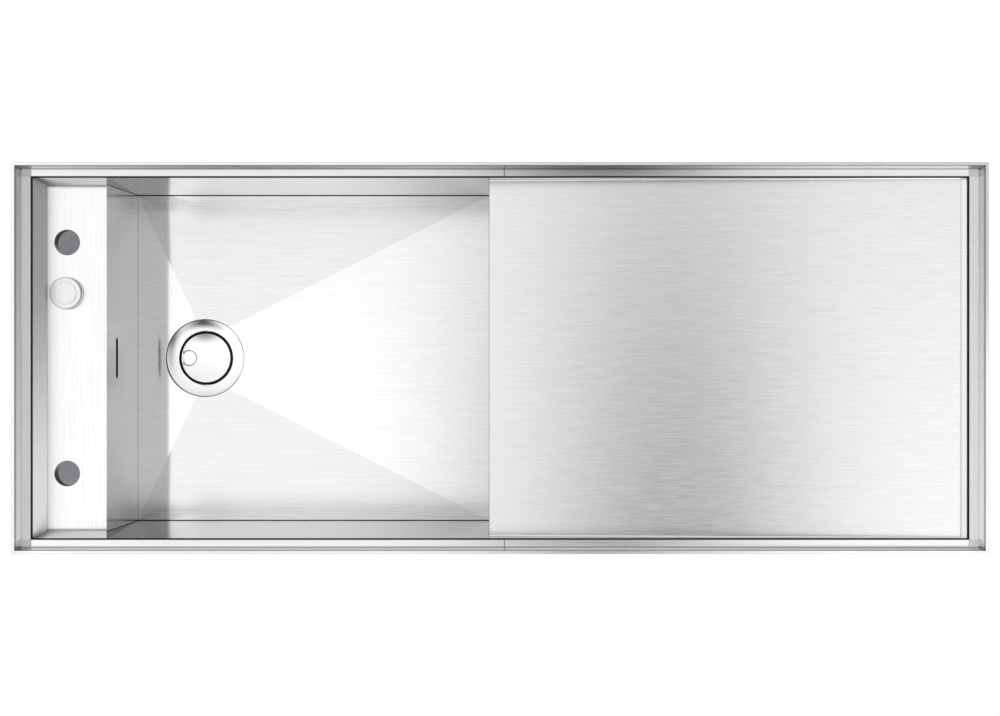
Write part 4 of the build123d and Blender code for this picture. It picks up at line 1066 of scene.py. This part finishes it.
def dress_fittings():
    """Dresses the fittings, and gives the materials that the added pieces share."""
    polished = polished_steel("polished_steel")
    dress(polished, "plug_stem", "strainer_basket")
    dress(polished_steel("flange_steel", bend=flange_normal), "waste_flange")
    dress(polished_steel("plug_steel", shade=pocket_line, bend=plug_normal), "plug_disc")
    dress(
        satin_metal("knob_satin", **KNOB_FINISH, shade=knob_shade),
        "control_knob", "knob_base",
    )
    dress(
        dull_material("black_rubber", **RUBBER_FINISH),
        "ledge_strips", "plug_seal",
        "waste_gasket_upper", "waste_gasket_lower", "overflow_gasket",
    )
    plastic = dull_material("grey_plastic", **PLASTIC_FINISH)
    dress(
        plastic,
        "waste_body", "lift_guide", "outlet_tail", "overflow_pipe", "overflow_unions",
        "cable_housing", "cable_pulley", "shaft_gland",
    )
    dress(dull_material("housing_plastic", **HOUSING_FINISH), "overflow_housing")
    dress(dull_material("damping_pad", **PAD_FINISH), "sound_pads")
    plated = satin_metal("plated_steel", **PLATED_FINISH)
    dress(
        plated,
        "drainer_stiffeners", "clip_brackets", "clip_claws", "clip_screws",
        "overflow_studs", "overflow_nuts", "knob_spindle", "knob_nut", "rocker_shaft",
        "rocker_crank", "lift_pin", "cable_bracket", "earth_tag",
    )
    brass = satin_metal("brass", **BRASS_FINISH)
    dress(brass, "knob_bush", "control_gland", "waste_gland")
    return {
        "polished_steel": polished,
        "grey_plastic": plastic,
        "plated_steel": plated,
        "brass": brass,
        "brushed_steel": satin_metal("weld_steel", **WELD_FINISH),
    }


# Added pieces
def add_piece(name, build, body, slot, materials):
    """Mesh made by a function, riding on a body and finished as a material slot."""
    work = bmesh.new()
    build(work)
    bmesh.ops.recalc_face_normals(work, faces=work.faces)
    mesh = bpy.data.meshes.new(name)
    work.to_mesh(mesh)
    work.free()
    mesh.materials.append(materials[slot])
    piece = bpy.data.objects.new(name, mesh)
    bpy.context.scene.collection.objects.link(piece)
    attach(piece, body)


def skin(work, rings):
    """Surface through closed rings of points, capped at both ends."""
    rows = [[work.verts.new(point) for point in ring] for ring in rings]
    count = len(rows[0])
    for lower, upper in zip(rows, rows[1:]):
        for i in range(count):
            j = (i + 1) % count
            work.faces.new((lower[i], lower[j], upper[j], upper[i]))
    work.faces.new(rows[0])
    work.faces.new(rows[-1])


def across_axis(axis):
    """Two directions square to an axis and to each other."""
    first = axis.orthogonal().normalized()
    return first, axis.cross(first)


def thread(work, start, axis, length, radius, pitch, ridge):
    """Helical ridge on a cylinder, run out at both ends."""
    first, second = across_axis(axis)
    turns = length / pitch - 1.0
    count = max(int(turns * THREAD_STEPS), THREAD_STEPS)
    foot = THREAD_FOOT * pitch
    crest = THREAD_CREST * pitch
    rings = []
    for i in range(count + 1):
        angle = math.tau * turns * i / count
        turned = min(i, count - i) / THREAD_STEPS
        height = ridge * min(turned / THREAD_RUN_OUT, 1.0)
        out = first * math.cos(angle) + second * math.sin(angle)
        middle = start + axis * (pitch * (0.5 + angle / math.tau))
        section = ((-ridge / 2, -foot), (height, -crest), (height, crest), (-ridge / 2, foot))
        rings.append([middle + out * (radius + rise) + axis * along for rise, along in section])
    skin(work, rings)


def outlet_thread(work):
    """Thread of the waste outlet, below its plate."""
    middle = (OUTLET_LOW + OUTLET_HIGH) / 2
    top = OUTLET_HIGH.z - OUTLET_UPSTAND - OUTLET_PLATE - THREAD_CLEAR
    start = Vector((middle.x, middle.y, top))
    thread(work, start, -UP, top - OUTLET_LOW.z, OUTLET_RADIUS, OUTLET_PITCH, OUTLET_RIDGE)


def spigot_threads(work):
    """Threads beside the union nuts, on the overflow's spigot and on the waste body's port."""
    upper = Vector((UNION_LOW.x + UNION_HALF, 0.0, UNION_HIGH.z))
    thread(work, upper, UP, SPIGOT_LENGTH, SPIGOT_RADIUS, SPIGOT_PITCH, SPIGOT_RIDGE)
    lower = Vector((UNION_HIGH.x, 0.0, UNION_LOW.z + UNION_HALF))
    right = Vector((1.0, 0.0, 0.0))
    thread(work, lower, right, PORT_LENGTH, SPIGOT_RADIUS, SPIGOT_PITCH, SPIGOT_RIDGE)


def bush_thread(work):
    """Thread of the knob's bush between its nut and the collar of the cable housing."""
    middle = (BUSH_LOW + BUSH_HIGH) / 2
    start = Vector((middle.x, middle.y, NUT_LOW.z - THREAD_CLEAR))
    length = start.z - CAN_HIGH.z - THREAD_CLEAR
    thread(work, start, -UP, length, BUSH_RADIUS, BUSH_PITCH, BUSH_RIDGE)


def gland_threads(work):
    """Threads on the tubes of both cable glands."""
    control = (CONTROL_LOW + CONTROL_HIGH) / 2
    control.y = CONTROL_LOW.y + GLAND_TUBE - THREAD_CLEAR
    length = GLAND_TUBE - 2 * THREAD_CLEAR
    forward = Vector((0.0, -1.0, 0.0))
    thread(work, control, forward, length, GLAND_RADIUS, GLAND_PITCH, GLAND_RIDGE)
    waste = (WASTE_GLAND_LOW + WASTE_GLAND_HIGH) / 2
    waste.x = WASTE_GLAND_LOW.x + GLAND_TUBE - THREAD_CLEAR
    left = Vector((-1.0, 0.0, 0.0))
    thread(work, waste, left, length, GLAND_RADIUS, GLAND_PITCH, GLAND_RIDGE)


def stud_threads(work):
    """Threads on the ends of the overflow's studs."""
    middle = (STUD_LOW + STUD_HIGH) / 2
    left = Vector((-1.0, 0.0, 0.0))
    for y in (STUD_LOW.y + SCREW_RADIUS, STUD_HIGH.y - SCREW_RADIUS):
        start = Vector((STUD_NUT_LOW.x - THREAD_CLEAR, y, middle.z))
        thread(work, start, left, start.x - STUD_LOW.x, SCREW_RADIUS, SCREW_PITCH, SCREW_RIDGE)


def clip_places():
    """Axes of the clip screws in plan."""
    first = SCREW_LOW.x + HEAD_RADIUS
    pitch = (SCREW_HIGH.x - SCREW_LOW.x - 2 * HEAD_RADIUS) / (CLIP_COUNT - 1)
    side = SCREW_HIGH.y - HEAD_RADIUS
    return [(first + pitch * i, y) for i in range(CLIP_COUNT) for y in (-side, side)]


def clip_threads(work):
    """Threads of the clip screws above the claws and below the heads."""
    tops = (BRACKET_HIGH.z - CLIP_SHEET, CLAW_LOW.z - HEAD_HEIGHT)
    ends = (CLAW_HIGH.z, SCREW_LOW.z)
    for x, y in clip_places():
        for top, end in zip(tops, ends):
            start = Vector((x, y, top - THREAD_CLEAR))
            thread(work, start, -UP, start.z - end, SCREW_RADIUS, SCREW_PITCH, SCREW_RIDGE)


def clip_knurls(work):
    """Ridges round the heads of the clip screws."""
    heights = (CLAW_LOW.z - KNURL_INSET, CLAW_LOW.z - HEAD_HEIGHT + KNURL_INSET)
    half = math.pi / KNURL_COUNT
    for x, y in clip_places():
        for i in range(KNURL_COUNT):
            angle = 2 * half * i
            corners = (
                (HEAD_RADIUS - KNURL_HEIGHT, angle - half),
                (HEAD_RADIUS + KNURL_HEIGHT, angle),
                (HEAD_RADIUS - KNURL_HEIGHT, angle + half),
            )
            section = []
            for reach, turn in corners:
                section.append((x + reach * math.cos(turn), y + reach * math.sin(turn)))
            skin(work, [[(*point, z) for point in section] for z in heights])


def bead(work, start, end):
    """Rippled weld bead along a straight edge."""
    axis = (end - start).normalized()
    first, second = across_axis(axis)
    count = int((end - start).length / BEAD_PITCH) * BEAD_STEPS
    rings = []
    for i in range(count + 1):
        middle = start.lerp(end, i / count)
        radius = BEAD_RADIUS + BEAD_RIPPLE * abs(math.sin(math.pi * i / BEAD_STEPS))
        ring = []
        for j in range(BEAD_SIDES):
            angle = math.tau * j / BEAD_SIDES
            ring.append(middle + (first * math.cos(angle) + second * math.sin(angle)) * radius)
        rings.append(ring)
    skin(work, rings)


def weld_beads(work):
    """Beads down the bowl's four corners and round its lower edge."""
    sides = ((LEFT_LOW.x, LEFT_HIGH.z), (RIGHT_HIGH.x, RIGHT_HIGH.z))
    bottom = WALL_LOW.z
    rear = WALL_HIGH.y
    for x, top in sides:
        for y in (-rear, rear):
            bead(work, Vector((x, y, bottom)), Vector((x, y, top - BEAD_INSET)))
        bead(work, Vector((x, -rear, bottom)), Vector((x, rear, bottom)))
    for y in (-rear, rear):
        bead(work, Vector((LEFT_LOW.x, y, bottom)), Vector((RIGHT_HIGH.x, y, bottom)))


def pocket_lip(work):
    """Thin upright lip across the mouth of the plug's finger pocket."""
    middle = (PLUG_LOW + PLUG_HIGH) / 2
    base = Vector((middle.x, middle.y, PLUG_HIGH.z - LIP_TOP))
    section = (
        (LIP_INNER, LIP_HEIGHT),
        (LIP_OUTER, LIP_HEIGHT),
        (LIP_OUTER, 0.0),
        (LIP_INNER, 0.0),
    )
    rings = []
    for i in range(LIP_STEPS + 1):
        angle = math.pi + LIP_HALF_ANGLE * (2 * i / LIP_STEPS - 1.0)
        out = Vector((math.cos(angle), math.sin(angle), 0.0))
        rings.append([base + out * reach - UP * drop for reach, drop in section])
    skin(work, rings)


def add_details(materials):
    """Adds the pieces of fine detail."""
    add_piece("outlet_thread", outlet_thread, "sink", "grey_plastic", materials)
    add_piece("spigot_threads", spigot_threads, "sink", "grey_plastic", materials)
    add_piece("bush_thread", bush_thread, "sink", "brass", materials)
    add_piece("gland_threads", gland_threads, "sink", "brass", materials)
    add_piece("stud_threads", stud_threads, "sink", "plated_steel", materials)
    add_piece("clip_threads", clip_threads, "sink", "plated_steel", materials)
    add_piece("clip_knurls", clip_knurls, "sink", "plated_steel", materials)
    add_piece("weld_beads", weld_beads, "sink", "brushed_steel", materials)
    add_piece("pocket_lip", pocket_lip, "plug", "polished_steel", materials)


# Studio and camera
def seen_rays(graph):
    """1 for rays from the camera, and 1 for those and for rays off or through gloss."""
    rays = graph.add("LightPath").outputs
    seen = graph.math("ADD", rays["Is Camera Ray"], rays["Is Glossy Ray"])
    seen = graph.math("MINIMUM", graph.math("ADD", seen, rays["Is Transmission Ray"]), 1.0)
    return rays["Is Camera Ray"], seen


def light_studio():
    """Soft overhead light from the world alone, dimmer in a band and in a patch to the front."""
    world = bpy.data.worlds.new("studio")
    bpy.context.scene.world = world
    world.use_nodes = True
    graph = Graph(world.node_tree)
    direction = graph.parts(graph.add("TexCoord").outputs["Generated"])
    up = graph.math("MAXIMUM", direction[2], LOWEST_RISE)
    across = graph.math("DIVIDE", direction[0], up)
    deep = graph.math("DIVIDE", direction[1], up)
    depth = graph.math("SUBTRACT", BAND_DEPTH, graph.times(deep, BAND_FADE))
    depth = graph.clamp(depth, BAND_LEAST, BAND_MOST)
    depth = graph.times(depth, graph.ramp(deep, BAND_FRONT_END, BAND_FRONT_START))
    band = graph.less(graph.times(graph.bell(across, BAND_CENTRE, BAND_WIDTH), depth))
    patch = graph.ramp(deep, PATCH_FULL, PATCH_START, PATCH_DEPTH, 0.0)
    patch = graph.times(patch, graph.ramp(deep, PATCH_FRONT_END, PATCH_FRONT_START))
    patch = graph.less(graph.times(patch, graph.bell(across, PATCH_ACROSS, PATCH_SPREAD)))
    base = graph.ramp(across, 0.0, SKY_RIGHT_END, SKY_LEVEL, SKY_RIGHT_LEVEL)
    left = graph.ramp(across, SKY_LEFT_END, SKY_LEFT_START, SKY_LEFT_LEVEL / SKY_LEVEL, 1.0)
    side = graph.ramp(deep, SKY_SIDE_START, SKY_SIDE_END, 1.0, SKY_SIDE_LEVEL)
    tilt = graph.ramp(across, SLANT_START, SLANT_END, SLANT_LEFT, SLANT_RIGHT)
    slant = graph.less(graph.times(graph.clamp(deep, -SLANT_LIMIT, SLANT_LIMIT), tilt))
    low = graph.ramp(direction[2], LOW_SKY_START, LOW_SKY_END, LOW_SKY_LEVEL, 1.0)
    horizon = graph.ramp(direction[2], HORIZON_LOW, HORIZON_HIGH, HORIZON_LEVEL, 1.0)
    camera, seen = seen_rays(graph)
    horizon = graph.math("MAXIMUM", horizon, seen)
    level = graph.times(base, left, side, band, patch, slant, low, horizon)
    level = graph.blend(level, 1.0, camera)
    background = world.node_tree.nodes["Background"]
    graph.put(background.inputs["Color"], graph.grey(level))


def build_stage():
    """Dark grey floor below the sink as painted shadow, which keeps the sink's own shadow and is
    white around it.
    """
    bpy.ops.mesh.primitive_plane_add(size=STAGE_SIZE, location=(0, 0, RIM_LOW.z - STAGE_DROP))
    floor = bpy.context.object
    floor.name = "studio_floor"
    material, graph, surface = new_material("studio_floor")
    surface.inputs["Base Color"].default_value = STAGE_SHADOW_COLOR
    surface.inputs["Roughness"].default_value = STAGE_ROUGHNESS
    clear = []
    for part, start, end in zip(graph.place(), SHADE_HALF, SHADE_END):
        clear.append(graph.ramp(graph.size(part), start, end))
    _, seen = seen_rays(graph)
    factor = graph.times(seen, graph.math("MAXIMUM", *clear))
    white = graph.add("Emission", Color=(1.0, 1.0, 1.0, 1.0), Strength=1.0)
    mixed = graph.add("MixShader")
    graph.put(mixed.inputs[0], factor)
    graph.put(mixed.inputs[1], surface.outputs[0])
    graph.put(mixed.inputs[2], white.outputs[0])
    output = material.node_tree.nodes["Material Output"]
    graph.put(output.inputs["Surface"], mixed.outputs[0])
    floor.data.materials.append(material)


def place_camera():
    """Camera that looks straight down."""
    data = bpy.data.cameras.new("camera")
    data.lens = CAMERA_LENS
    data.sensor_width = SENSOR_WIDTH
    camera = bpy.data.objects.new("camera", data)
    camera.location = (0.0, 0.0, CAMERA_HEIGHT)
    bpy.context.scene.collection.objects.link(camera)
    bpy.context.scene.camera = camera


bpy.context.scene.view_settings.view_transform = "Standard"
dress_bowl()
dress_recess()
dress_rim()
add_details(dress_fittings())
light_studio()
build_stage()
place_camera()
